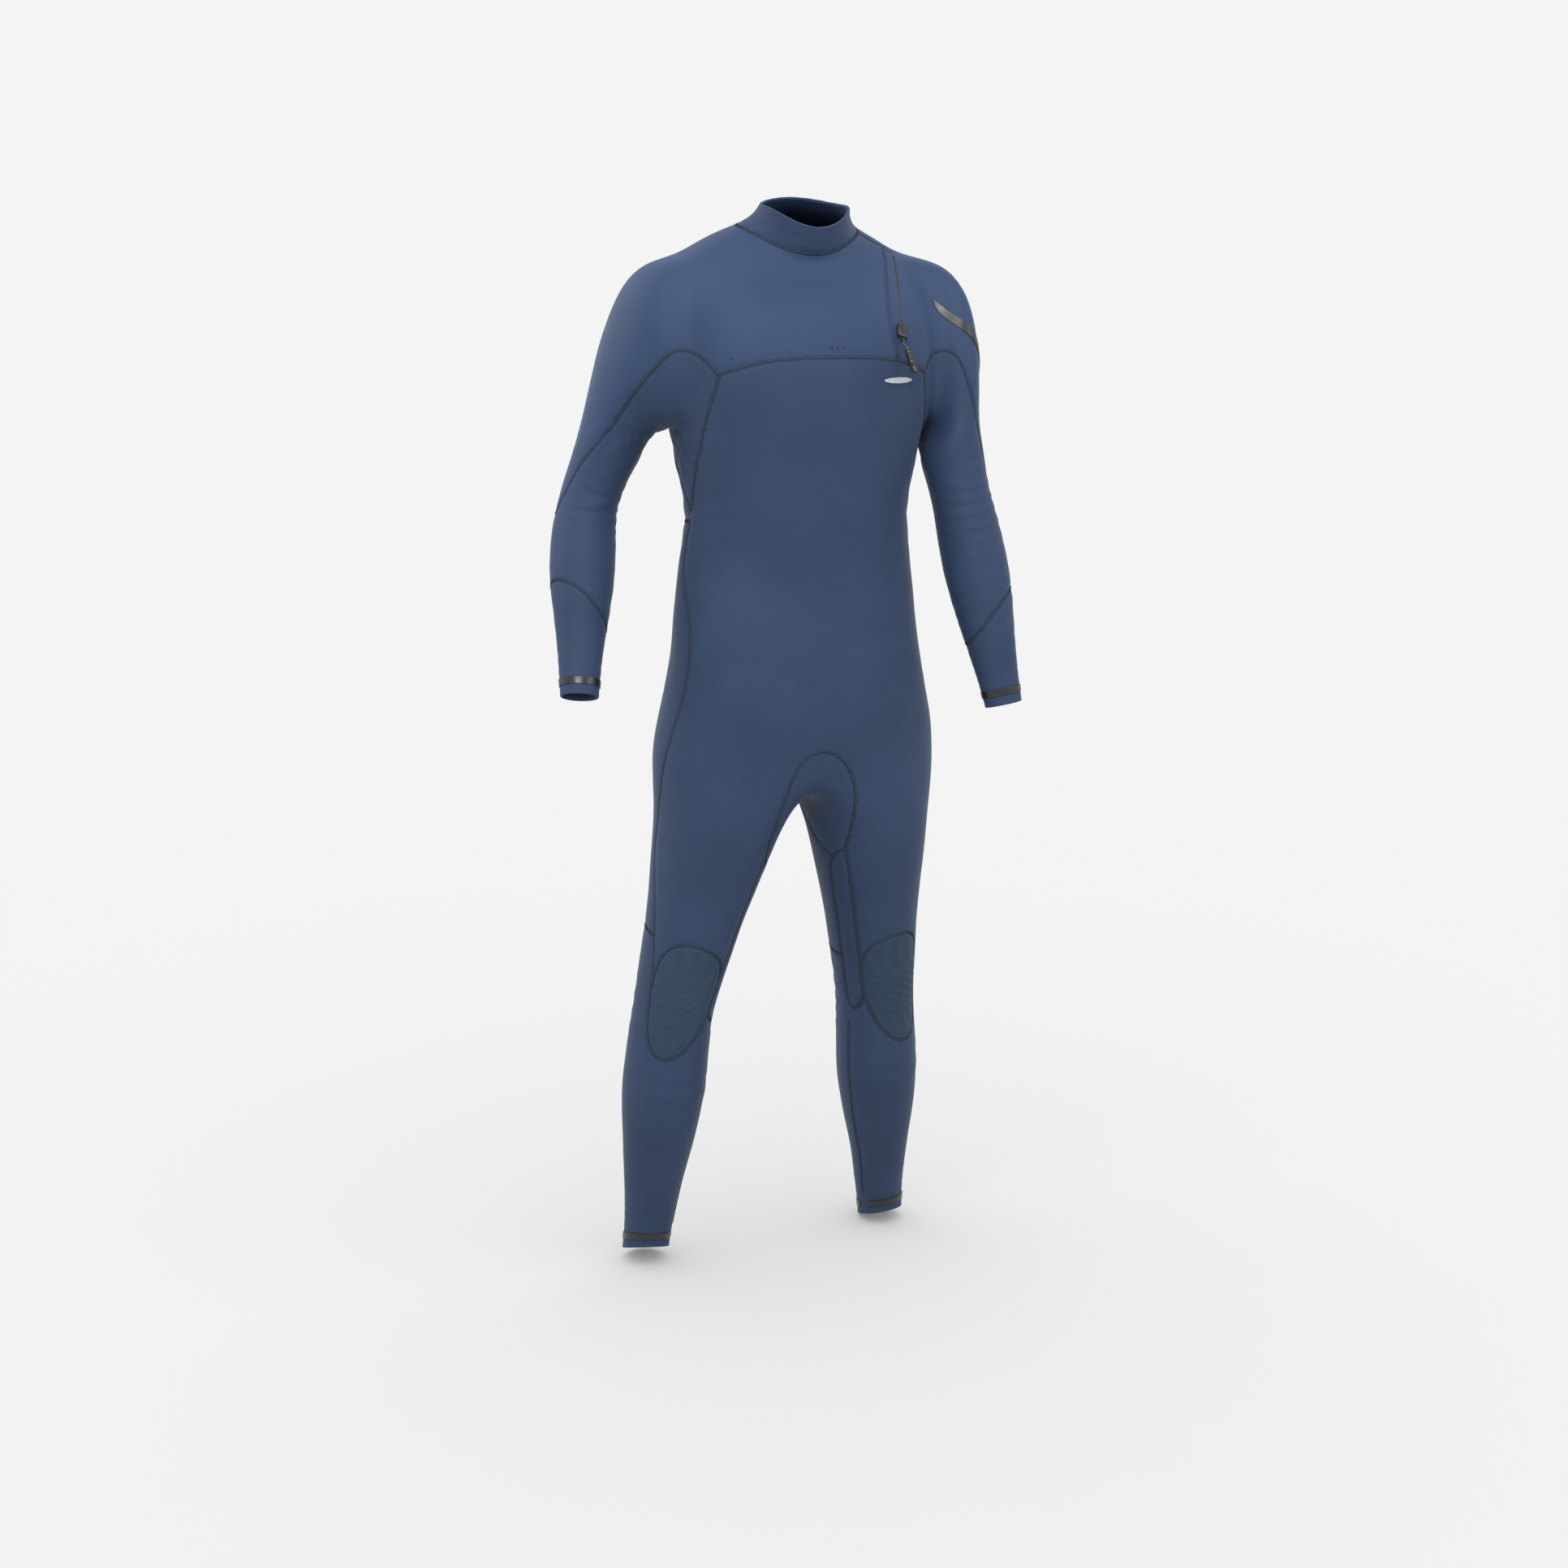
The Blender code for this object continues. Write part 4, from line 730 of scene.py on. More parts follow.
def rename(cloth):
    """Joins the regions that are one panel, across the edges of the cage's limbs."""
    for face, label in cloth.label.items():
        side = "left" if face.calc_center_median().x > 0 else "right"
        if label == "torso":
            label = "back_panel"
        elif label in ("left arm", "right arm", "underarm"):
            label = f"underarm_{side}"
        elif label in ("left leg", "right leg", "seat"):
            label = f"seat_{side}"
        elif label == "chest_yoke" and cloth.home[face] == "left arm":
            label = "left_shoulder"
        cloth.label[face] = label


class Zip:
    """Sections along the entry zip, bottom to top, and the arc that its slider runs on."""

    def __init__(self, tree):
        self.tree = tree
        self.start = self.centre(SLIDER_TRAVEL[0])
        self.hub, self.axis = self.arc(*(self.centre(angle) for angle in SLIDER_TRAVEL))
        self.up = self.axis.cross(self.start - self.hub).normalized()
        beside = [self.start + Vector((0.002 * k, 0, 0)) for k in range(-3, 4)]
        facing = sum((self.tree.find_nearest(point)[1] for point in beside), Vector())
        self.left = self.up.cross(facing).normalized()
        self.out = self.left.cross(self.up)

    def arc(self, first, second, third):
        """Centre and axis of the circle through three points. It turns from the first to the third."""
        u, v = second - first, third - first
        normal = u.cross(v)
        away = v.length_squared * normal.cross(u) + u.length_squared * v.cross(normal)
        return first + away / (2 * normal.length_squared), normal.normalized()

    def centre(self, angle):
        """Where the zip line crosses this angle: along a ray in the plane of the zip."""
        turn = math.radians(angle)
        y = ZIP_AXIS[0] - 0.5 * math.cos(turn)
        z = ZIP_AXIS[1] + 0.5 * math.sin(turn)
        aim = Vector((zip_x(*ZIP_AXIS), *ZIP_AXIS))
        start = Vector((zip_x(y, z), y, z))
        return self.tree.ray_cast(start, (aim - start).normalized())[0]

    def section(self, angle, offsets):
        """Points at each (sideways, outward) offset from the zip line, following the surface."""
        place = self.centre(angle)
        up = (self.centre(angle + 1.5) - self.centre(angle - 1.5)).normalized()
        normal = self.tree.find_nearest(place)[1]
        left = up.cross(normal).normalized()
        points = []
        for aside, out in offsets:
            near, facing, _, _ = self.tree.find_nearest(place + left * aside)
            points.append(near + facing * out)
        return points

    def at(self, aside, along, out):
        """A point in the slider's own frame."""
        return self.start + self.left * aside + self.up * along + self.out * out


BAR = (-0.0130, 0.0046)        # along and out from the slider's middle, to the pull's hinge
CORD_RADIUS = 0.0010
GRIP_START, GRIP_LENGTH = 0.0140, 0.031
PULL_LEAN = 25                 # degrees the pull hangs towards the wearer's left


# ---------------------------------------------------------------- the sewn surface
ARTIFICIAL = {"elbow_left~top": "left_shoulder", "elbow_right~top": "chest_yoke"}


def region(label):
    """The sewn panel that a label is part of, across the joints that only bend it."""
    label = label.split("+")[0]
    if label in ARTIFICIAL:
        return ARTIFICIAL[label]
    for short, panel in (("elbow_", "underarm_"), ("forearm_", "underarm_"), ("knee_back_", "shin_")):
        if label.startswith(short):
            return panel + label[len(short):]
    return label


def piece_of(label):
    return label.split("+")[0].split("~")[0]


def even_out_seams(cloth):
    """Smooths each seam line along itself."""
    lines = {}
    for edge in cloth.bm.edges:
        if len({cloth.label[face] for face in edge.link_faces}) > 1:
            for vert in edge.verts:
                lines.setdefault(vert, []).append(edge.other_vert(vert))
    moving = {vert: ends for vert, ends in lines.items() if len(ends) == 2 and not vert.is_boundary}
    for _ in range(3):
        new = {v: v.co * 0.5 + (a.co + b.co) * 0.25 for v, (a, b) in moving.items()}
        for vert, place in new.items():
            vert.co = place
    for vert in moving:
        cloth.settle(vert)


def object_of(name, points, faces):
    """A smooth-shaded mesh object in the scene."""
    mesh = bpy.data.meshes.new(name)
    mesh.from_pydata([tuple(p) for p in points], [], faces)
    mesh.polygons.foreach_set("use_smooth", [True] * len(mesh.polygons))
    obj = bpy.data.objects.new(name, mesh)
    bpy.context.scene.collection.objects.link(obj)
    return obj


def subdivided(points, faces, kinds, levels):
    """Splits every face into quads: (points, faces, the kind of each)."""
    obj = object_of("helper", points, faces)
    obj.data.polygons.foreach_set("material_index", kinds)
    for _ in range(max(kinds) + 1):
        obj.data.materials.append(None)
    split = obj.modifiers.new("split", "SUBSURF")
    split.subdivision_type = "SIMPLE"
    split.levels = levels
    graph = bpy.context.evaluated_depsgraph_get()
    made = bpy.data.meshes.new_from_object(obj.evaluated_get(graph))
    out = np.empty(len(made.vertices) * 3)
    made.vertices.foreach_get("co", out)
    loops = np.empty(len(made.loops), int)
    made.loops.foreach_get("vertex_index", loops)
    new_kinds = np.empty(len(made.polygons), int)
    made.polygons.foreach_get("material_index", new_kinds)
    bpy.data.objects.remove(obj)
    bpy.data.meshes.remove(made)
    return out.reshape(-1, 3), loops.reshape(-1, 4), new_kinds


def vertex_normals(points, quads):
    across = points[quads[:, 2]] - points[quads[:, 0]]
    along = points[quads[:, 3]] - points[quads[:, 1]]
    normal = np.cross(across, along)
    total = np.zeros_like(points)
    for k in range(4):
        np.add.at(total, quads[:, k], normal)
    return total / np.maximum(np.linalg.norm(total, axis=1, keepdims=True), 1e-12)


def outward(normals, facing):
    """The normals, but the form's own where a narrow face is folded over."""
    folded = (normals * facing).sum(1) < 0.5
    normals[folded] = facing[folded]
    return normals


def noise_at(points, size, seed=0.0):
    return np.array([noise.noise(Vector((x / size + seed, y / size, z / size))) for x, y, z in points])


def bump(value, middle, half):
    """1 at the middle, falling smoothly to 0."""
    t = np.clip(1 - np.abs(value - middle) / half, 0, 1)
    return t * t * (3 - 2 * t)


SEAM_DIP = (0.0011, 0.0045)          # how deep the cloth dips to a seam, and how far from it
RIB = 0.00055                        # half the height of the knee pads' ribs


def seam_dip(reach):
    """How far the cloth lies below its plain surface at this distance from a seam."""
    depth, spread = SEAM_DIP
    return depth * np.exp(-((reach / spread) ** 2))


def folds(height, pitch, place, shift, middle, half):
    """Ripples across a limb, this high and far apart, that fade out by half this far from the middle."""
    return height * np.sin(2 * math.pi * (place + shift) / pitch) * bump(place, middle, half)


ARMPITS = (0.178, -0.186)
ARMPIT_HEIGHT = 1.085


def relief(points, arms, legs):
    """How far the filled suit's surface stands off the smooth form, in metres."""
    coarse, fine = noise_at(points, 0.055), noise_at(points, 0.021, 7.0)
    x, _, z = points.T
    d = 0.0007 * coarse + 0.00018 * fine
    for side, (along, angle) in arms.items():
        on = (np.abs(x) > 0.17) & ((x > 0) == (side == "left")) & (along > 0.1)
        wobble = 0.010 * coarse + 0.004 * np.sin(np.radians(angle * 2 + 40))
        inner_elbow = bump(turn_of(angle - 262), 0, 115)
        d += on * inner_elbow * folds(0.0015, 0.019, along, wobble, 0.288, 0.085)
        d += on * folds(0.00025, 0.013, along, -wobble, 0.50, 0.05)
        d += on * folds(0.0003, 0.031, along, 3 * wobble, 0.42, 0.09)
    for side, (along, angle) in legs.items():
        on = (z < 0.60) & ((x > 0) == (side == "left"))
        wobble = 0.012 * coarse + 0.005 * np.sin(np.radians(angle + 70))
        behind = bump(turn_of(angle - 95), 0, 105)
        front = bump(turn_of(angle - 270), 0, 120)
        d += on * behind * folds(0.0016, 0.024, along, wobble, 0.325, 0.09)
        d += on * front * folds(0.0009, 0.030, along, wobble, 0.425, 0.05)
        d += on * folds(0.0002, 0.014, along, -wobble, 0.62, 0.05)
    for middle in ARMPITS:
        away = points - np.array([middle, 0.0, ARMPIT_HEIGHT])
        reach = np.linalg.norm(away, axis=1)
        turn = np.arctan2(away[:, 2], away[:, 1])
        d += 0.0008 * np.cos(7 * turn + 8 * coarse) * bump(reach, 0.045, 0.055)
    angle, height = torso_chart(points)
    neck = (height > 1.30) & (np.hypot(x, points[:, 1] + 0.03) < 0.10)
    rise = height * 1.2 + 0.03 * np.sin(np.radians(angle * 2)) + 0.02 * coarse
    d += neck * 0.00015 * np.sin(2 * math.pi * rise / 0.016)
    sides = bump(np.abs(angle), 90, 70) * (np.abs(x) < 0.17)
    d += sides * folds(0.0007, 0.034, height, 0.02 * coarse, 0.985, 0.07)
    return d


def chains_of(pairs):
    """Runs of joined edges, each as a list of point numbers."""
    after = {}
    for a, b in pairs:
        after.setdefault(a, []).append(b)
        after.setdefault(b, []).append(a)
    left = {frozenset(pair) for pair in pairs}
    chains = []
    starts = [v for v, ends in after.items() if len(ends) != 2] + list(after)
    for start in starts:
        for following in after[start]:
            if frozenset((start, following)) not in left:
                continue
            left.discard(frozenset((start, following)))
            chain = [start, following]
            while len(after[chain[-1]]) == 2 and chain[-1] != start:
                choice = [v for v in after[chain[-1]] if frozenset((chain[-1], v)) in left]
                if not choice:
                    break
                left.discard(frozenset((chain[-1], choice[0])))
                chain.append(choice[0])
            chains.append(chain)
    return chains


def evenly(line, step, soften=4):
    """A polyline's points at an even spacing, with its small kinks smoothed."""
    line = np.array(line, float)
    length = np.concatenate([[0], np.cumsum(np.linalg.norm(np.diff(line, axis=0), axis=1))])
    count = max(int(round(length[-1] / step)), 2)
    at = np.linspace(0, length[-1], count + 1)
    out = np.stack([np.interp(at, length, line[:, k]) for k in range(3)], 1)
    for _ in range(soften):
        out[1:-1] = out[1:-1] * 0.5 + (out[:-2] + out[2:]) * 0.25
    return out


class Surface:
    """The finished outside, to lay seams and trims on."""

    def __init__(self, points, quads):
        self.tree = BVHTree.FromPolygons([Vector(p) for p in points], [tuple(q) for q in quads])

    def seat(self, points):
        found = [self.tree.find_nearest(Vector(p)) for p in points]
        place = np.array([[*f[0]] for f in found])
        facing = np.array([[*f[1]] for f in found])
        for _ in range(3):
            facing[1:-1] = facing[1:-1] * 0.5 + (facing[:-2] + facing[2:]) * 0.25
        return place, facing / np.linalg.norm(facing, axis=1, keepdims=True)


class Gather:
    """Collects many swept strips into one mesh."""

    def __init__(self):
        self.points, self.faces = [], []

    def sweep(self, rows):
        """Closed tube through rows of section points, capped at both ends."""
        rows = np.asarray(rows)
        base = sum(len(p) for p in self.points)
        count, around = rows.shape[:2]
        self.points.append(rows.reshape(-1, 3))
        i, k = np.meshgrid(np.arange(count - 1), np.arange(around), indexing="ij")
        a, b = base + i * around + k, base + i * around + (k + 1) % around
        self.faces += np.stack([a, b, b + around, a + around], -1).reshape(-1, 4).tolist()
        self.faces.append(list(range(base + around - 1, base - 1, -1)))
        self.faces.append(list(range(base + (count - 1) * around, base + count * around)))

    def build(self, name, material):
        obj = object_of(name, np.concatenate(self.points), self.faces)
        bm = bmesh.new()
        bm.from_mesh(obj.data)
        bmesh.ops.recalc_face_normals(bm, faces=bm.faces)
        bm.to_mesh(obj.data)
        bm.free()
        obj.data.materials.append(material)
        return obj


def finished(part, name, look):
    """The gathered strips as one piece with its look."""
    obj = part.build(name, MATERIALS[look])
    return obj


def ring_rows(path, radius, sides=4):
    """Round sections along a path."""
    path = np.asarray(path)
    tangent = np.gradient(path, axis=0)
    tangent /= np.linalg.norm(tangent, axis=1, keepdims=True)
    up = np.cross(tangent, [0.31, 0.52, 0.79])
    up /= np.linalg.norm(up, axis=1, keepdims=True)
    side = np.cross(tangent, up)
    turn = 2 * np.pi * (np.arange(sides) + 0.5) / sides
    across, along = np.cos(turn)[:, None], np.sin(turn)[:, None]
    return path[:, None] + radius * (up[:, None] * across + side[:, None] * along)


RIDGE_SINK = 0.0006                  # how far a seam ridge's edges go into the cloth


def bead_rows(place, facing, half, height):
    """A low rounded ridge along a line on the surface."""
    tangent = np.gradient(place, axis=0)
    side = np.cross(facing, tangent)
    side /= np.linalg.norm(side, axis=1, keepdims=True)
    low, high = height * 0.45, height * 0.9
    section = [(-1, -RIDGE_SINK), (-0.86, low), (-0.4, high), (0.4, high), (0.86, low), (1, -RIDGE_SINK)]
    return np.stack([place + side * half * a + facing * o for a, o in section], 1)


def zigzag(place, facing, half, pitch, lift, crown):
    """Points of a zigzag thread along a line on the surface."""
    tangent = np.gradient(place, axis=0)
    side = np.cross(facing, tangent)
    side /= np.linalg.norm(side, axis=1, keepdims=True)
    length = np.concatenate([[0], np.cumsum(np.linalg.norm(np.diff(place, axis=0), axis=1))])
    at = np.arange(0, length[-1], pitch / 4)
    spot, normal, across = (
        np.stack([np.interp(at, length, values[:, k]) for k in range(3)], 1)
        for values in (place, facing, side)
    )
    swing = np.tile([-1, 0, 1, 0], len(at) // 4 + 1)[: len(at)]
    height = np.where(swing == 0, crown, lift)
    return spot + across * (swing * half)[:, None] + normal * height[:, None]


GROUPS = {
    "suit": None,
    "forearm_left": ("arm", "left"), "forearm_right": ("arm", "right"),
    "lower_leg_left": ("leg", "left"), "lower_leg_right": ("leg", "right"),
}
BENDS = {"arm": (ARM_PATHS, 0.240, 0.350, 0.19), "leg": (LEG_PATHS, 0.315, 0.405, 0.22)}


def group_of(points):
    """The body that each point of a seam is grouped with at the far end of its limb."""
    found = np.array(["suit"] * len(points), dtype=object)
    for body, limb in GROUPS.items():
        if not limb:
            continue
        kind, side = limb
        paths, _, _, start = BENDS[kind]
        along, _ = limb_chart(points, paths[side])
        mine = (points[:, 0] > 0) == (side == "left")
        if kind == "leg":
            mine &= (points[:, 2] < 0.6) & (np.abs(points[:, 0]) < 0.26)
        else:
            mine &= (points[:, 2] > 0.66) & (np.abs(points[:, 0]) > 0.15)
            centre = np.array([[*rounded(paths[side], s)] for s in along])
            mine &= np.linalg.norm(points - centre, axis=1) < 0.07
        found[mine & (along > start)] = body
    return found


def attach(obj, body):
    """Rides on the suit; a limb's piece only gets its place baked into its mesh."""
    limb = GROUPS.get(body)
    if not limb:
        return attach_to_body(obj, body)
    kind, side = limb
    paths, start, end, _ = BENDS[kind]
    first, last = (tuple(rounded(paths[side], along)) for along in (start, end))
    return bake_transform(obj)


def runs_of(points, groups):
    """Splits a line where its group changes."""
    cuts = [0] + [i for i in range(1, len(groups)) if groups[i] != groups[i - 1]] + [len(groups)]
    for a, b in zip(cuts[:-1], cuts[1:]):
        b = min(b + 1, len(points))
        if b - a > 2:
            yield groups[a], points[a:b]


# ---------------------------------------------------------------- materials
def material_of(name):
    """A new material, its node tree and its shader."""
    material = bpy.data.materials.new(name)
    material.use_nodes = True
    tree = material.node_tree
    return material, tree, tree.nodes["Principled BSDF"]


def add_node(tree, kind, **inputs):
    """A new node, with these values on its inputs."""
    node = tree.nodes.new(f"ShaderNode{kind}")
    for name, value in inputs.items():
        node.inputs[name.replace("_", " ")].default_value = value
    return node


def two_tone(tree, dark, light, low=0.0, high=1.0):
    ramp = add_node(tree, "ValToRGB")
    first, second = ramp.color_ramp.elements
    first.position, second.position = low, high
    first.color, second.color = (*dark, 1), (*light, 1)
    return ramp


def join(tree, *pairs):
    for (source, output), (target, name) in pairs:
        tree.links.new(source.outputs[output], target.inputs[name])


def fabric(name, colour, patch, roughness=0.62, sheen=0.14, knit=0.0009, depth=0.35):
    """Knitted jersey: a fine grain, slow changes of shade and a soft sheen."""
    material, tree, shader = material_of(name)
    where = add_node(tree, "TexCoord")
    slow = add_node(tree, "TexNoise", Scale=9, Detail=5)
    ramp = two_tone(tree, colour, patch, 0.32, 0.70)
    grain = add_node(tree, "TexNoise", Scale=420, Detail=3)
    wales = add_node(tree, "TexWave", Scale=0.314 / knit, Distortion=1.2)
    wales.bands_direction = "DIAGONAL"
    speckle = tree.nodes.new("ShaderNodeMix")
    speckle.data_type = "RGBA"
    speckle.blend_type = "MULTIPLY"
    speckle.inputs["Factor"].default_value = 0.55
    tone = add_node(tree, "MapRange", To_Min=0.72, To_Max=1.25)
    total = add_node(tree, "Math")
    total.operation = "ADD"
    dent = add_node(tree, "Bump", Strength=depth, Distance=0.0004)
    for node in (slow, grain, wales):
        join(tree, ((where, "Object"), (node, "Vector")))
    join(
        tree,
        ((slow, "Fac"), (ramp, "Fac")),
        ((grain, "Fac"), (tone, "Value")),
        ((ramp, "Color"), (speckle, "A")),
        ((tone, "Result"), (speckle, "B")),
        ((speckle, "Result"), (shader, "Base Color")),
        ((grain, "Fac"), (total, 0)),
        ((wales, "Fac"), (total, 1)),
        ((total, "Value"), (dent, "Height")),
        ((dent, "Normal"), (shader, "Normal")),
    )
    shader.inputs["Roughness"].default_value = roughness
    shader.inputs["Sheen Weight"].default_value = sheen
    shader.inputs["Sheen Roughness"].default_value = 0.35
    shader.inputs["Sheen Tint"].default_value = (0.55, 0.68, 0.95, 1)
    shader.inputs["Specular IOR Level"].default_value = 0.2
    return material


def moulded(name, colour, roughness=0.4, scale=600, depth=0.15, metallic=0.0):
    """Moulded or coated surface with a fine grain and slightly uneven gloss."""
    material, tree, shader = material_of(name)
    where = add_node(tree, "TexCoord")
    grain = add_node(tree, "TexNoise", Scale=scale, Detail=4)
    slow = add_node(tree, "TexNoise", Scale=60)
    gloss = add_node(tree, "MapRange", To_Min=roughness - 0.12, To_Max=roughness + 0.12)
    ramp = two_tone(tree, [c * 0.7 for c in colour], [c * 1.35 for c in colour])
    dent = add_node(tree, "Bump", Strength=depth, Distance=0.0002)
    join(
        tree,
        ((where, "Object"), (grain, "Vector")),
        ((where, "Object"), (slow, "Vector")),
        ((slow, "Fac"), (gloss, "Value")),
        ((gloss, "Result"), (shader, "Roughness")),
        ((slow, "Fac"), (ramp, "Fac")),
        ((ramp, "Color"), (shader, "Base Color")),
        ((grain, "Fac"), (dent, "Height")),
        ((dent, "Normal"), (shader, "Normal")),
    )
    shader.inputs["Metallic"].default_value = metallic
    return material


def braid(name, colour, fleck):
    """Braided cord with light flecks."""
    material, tree, shader = material_of(name)
    where = add_node(tree, "TexCoord")
    cell = add_node(tree, "TexVoronoi", Scale=900)
    ramp = two_tone(tree, colour, fleck, 0.62, 0.70)
    dent = add_node(tree, "Bump", Strength=0.6, Distance=0.0003)
    join(
        tree,
        ((where, "Object"), (cell, "Vector")),
        ((cell, "Color"), (ramp, "Fac")),
        ((cell, "Distance"), (dent, "Height")),
        ((ramp, "Color"), (shader, "Base Color")),
        ((dent, "Normal"), (shader, "Normal")),
    )
    shader.inputs["Roughness"].default_value = 0.75
    return material


MATERIALS = {
    # The first jersey is the navy jersey painted lighter and bluer, a lit copy of the one fabric: painted
    # light on the upper panels.
    "blue": fabric("jersey painted lighter", (0.019, 0.037, 0.084), (0.024, 0.045, 0.099), 0.60, 0.14),
    "navy": fabric("navy jersey", (0.018, 0.034, 0.073), (0.023, 0.042, 0.088), 0.64, 0.12),
    "knee": fabric("ribbed knee", (0.018, 0.037, 0.064), (0.023, 0.045, 0.077), 0.66, 0.12, 0.0014, 0.5),
    "bead": fabric("seam ridge", (0.022, 0.039, 0.076), (0.029, 0.050, 0.094), 0.60, 0.16, 0.0007, 0.5),
    "thread": moulded("thread", (0.010, 0.013, 0.022), 0.6, 1500, 0.4),
    "band": moulded("gloss band", (0.012, 0.012, 0.014), 0.28, 500, 0.12),
    "stripe": moulded("gloss print", (0.013, 0.013, 0.014), 0.42, 700, 0.10),
    "silver": moulded("silver print", (0.30, 0.32, 0.35), 0.42, 900, 0.10),
    "tape": fabric("zip tape", (0.016, 0.018, 0.024), (0.024, 0.027, 0.034), 0.8, 0.15, 0.0008, 0.6),
    "coil": moulded("zip coil", (0.085, 0.072, 0.064), 0.40, 900, 0.1),
    "plastic": moulded("black moulding", (0.010, 0.010, 0.011), 0.36, 1200, 0.25),
    "metal": moulded("black bail", (0.020, 0.020, 0.022), 0.34, 900, 0.1, 0.6),
    "cord": braid("braided cord", (0.012, 0.013, 0.016), (0.16, 0.17, 0.18)),
}


def look_of(label):
    """The material of a region of the cloth. The chest yoke and the left shoulder take the jersey painted
    lighter and bluer: painted light, for the upper chest and shoulder that are lit more.
    """
    panel = region(label)
    if panel.startswith("knee_pad"):
        return "knee"
    # Painted light: the upper panels get the lighter copy of the same jersey.
    return "blue" if panel in ("chest_yoke", "left_shoulder") else "navy"


# ---------------------------------------------------------------- panels
def zip_offset(points, normals, panels):
    """Moves the two edges of the entry slit apart."""
    plane = np.array([1.0, -ZIP_PLANE[1], -ZIP_PLANE[2]])
    plane /= np.linalg.norm(plane)
    beside = (points[:, 0] - zip_x(points[:, 1], points[:, 2])) * plane[0]
    angle = zip_chart(points)
    inside = np.clip((angle - ZIP_SLOT[0]) / 3, 0, 1) * np.clip((ZIP_SLOT[1] - angle) / 3, 0, 1)
    inside *= (points[:, 1] < ZIP_AXIS[0]) & (points[:, 2] > 1.15)
    aside = plane - (normals @ plane)[:, None] * normals
    aside /= np.linalg.norm(aside, axis=1, keepdims=True)
    sign = 1 if panels == "left_shoulder" else -1
    amount = sign * SLIT / 2 * np.clip(1 - np.abs(beside) / 0.016, 0, 1) * inside
    return aside * amount[:, None]


def shell_of(name, points, faces, normals, heights, under, looks, sharp=False, corner_normals=None):
    """A closed sheet: the outside at its heights, the inside below it and a wall round the edge."""
    used, index = np.unique(faces, return_inverse=True)
    faces = index.reshape(faces.shape)
    count = len(used)
    p, n, h = points[used], normals[used], heights[used]
    outside = p + n * h[:, None]
    low = np.minimum(h, 0) + under
    inside = p + n * low[:, None]
    half = set()
    for quad in faces.tolist():
        for k in range(4):
            half.add((quad[k], quad[(k + 1) % 4]))
    rim = [(a, b) for a, b in half if (b, a) not in half]
    walls = [(b, a, a + count, b + count) for a, b in sorted(rim)]
    made = faces.tolist() + (faces[:, ::-1] + count).tolist() + walls
    obj = object_of(name, np.concatenate([outside, inside]), made)
    kinds = sorted(set(looks))
    for kind in kinds:
        obj.data.materials.append(MATERIALS[kind])
    which = [kinds.index(look) for look in looks]
    obj.data.polygons.foreach_set("material_index", which + which + [0] * len(walls))
    if corner_normals is not None:
        facing = corner_normals[used]
        own = np.zeros((len(faces) + len(walls), 4, 3))
        corners = np.concatenate([facing[faces], own]).reshape(-1, 3)
        obj.data.normals_split_custom_set(corners.tolist())
    elif sharp:
        flags = np.zeros(len(obj.data.edges), bool)
        ends = np.empty(len(obj.data.edges) * 2, int)
        obj.data.edges.foreach_get("vertices", ends)
        edge_of = {tuple(sorted(pair)): i for i, pair in enumerate(ends.reshape(-1, 2).tolist())}
        for a, b in rim:
            flags[edge_of[tuple(sorted((a, b)))]] = True
            flags[edge_of[tuple(sorted((a + count, b + count)))]] = True
        obj.data.attributes.new("sharp_edge", "BOOLEAN", "EDGE").data.foreach_set("value", flags)
    return obj


SLIT = 0.0034


TRIM = 0.0013         # thickness of the bands and prints
TRIMS = {
    "wrist_band_left": "band", "wrist_band_right": "band", "ankle_band_left": "band",
    "ankle_band_right": "band", "shoulder_stripe": "stripe", "chest_label": "silver",
}
LIMB_PIECES = {
    "forearm": ("forearm", "cuff", "elbow", "wrist_band"),
    "lower_leg": ("shin", "ankle_band", "knee_back", "knee_pad", "inner_thigh"),
}


def body_of(piece):
    """The body that a piece is grouped with, wholly or at its far end."""
    stem, _, side = piece.rpartition("_")
    for body, stems in LIMB_PIECES.items():
        if stem in stems:
            return f"{body}_{side}"
    return "suit"


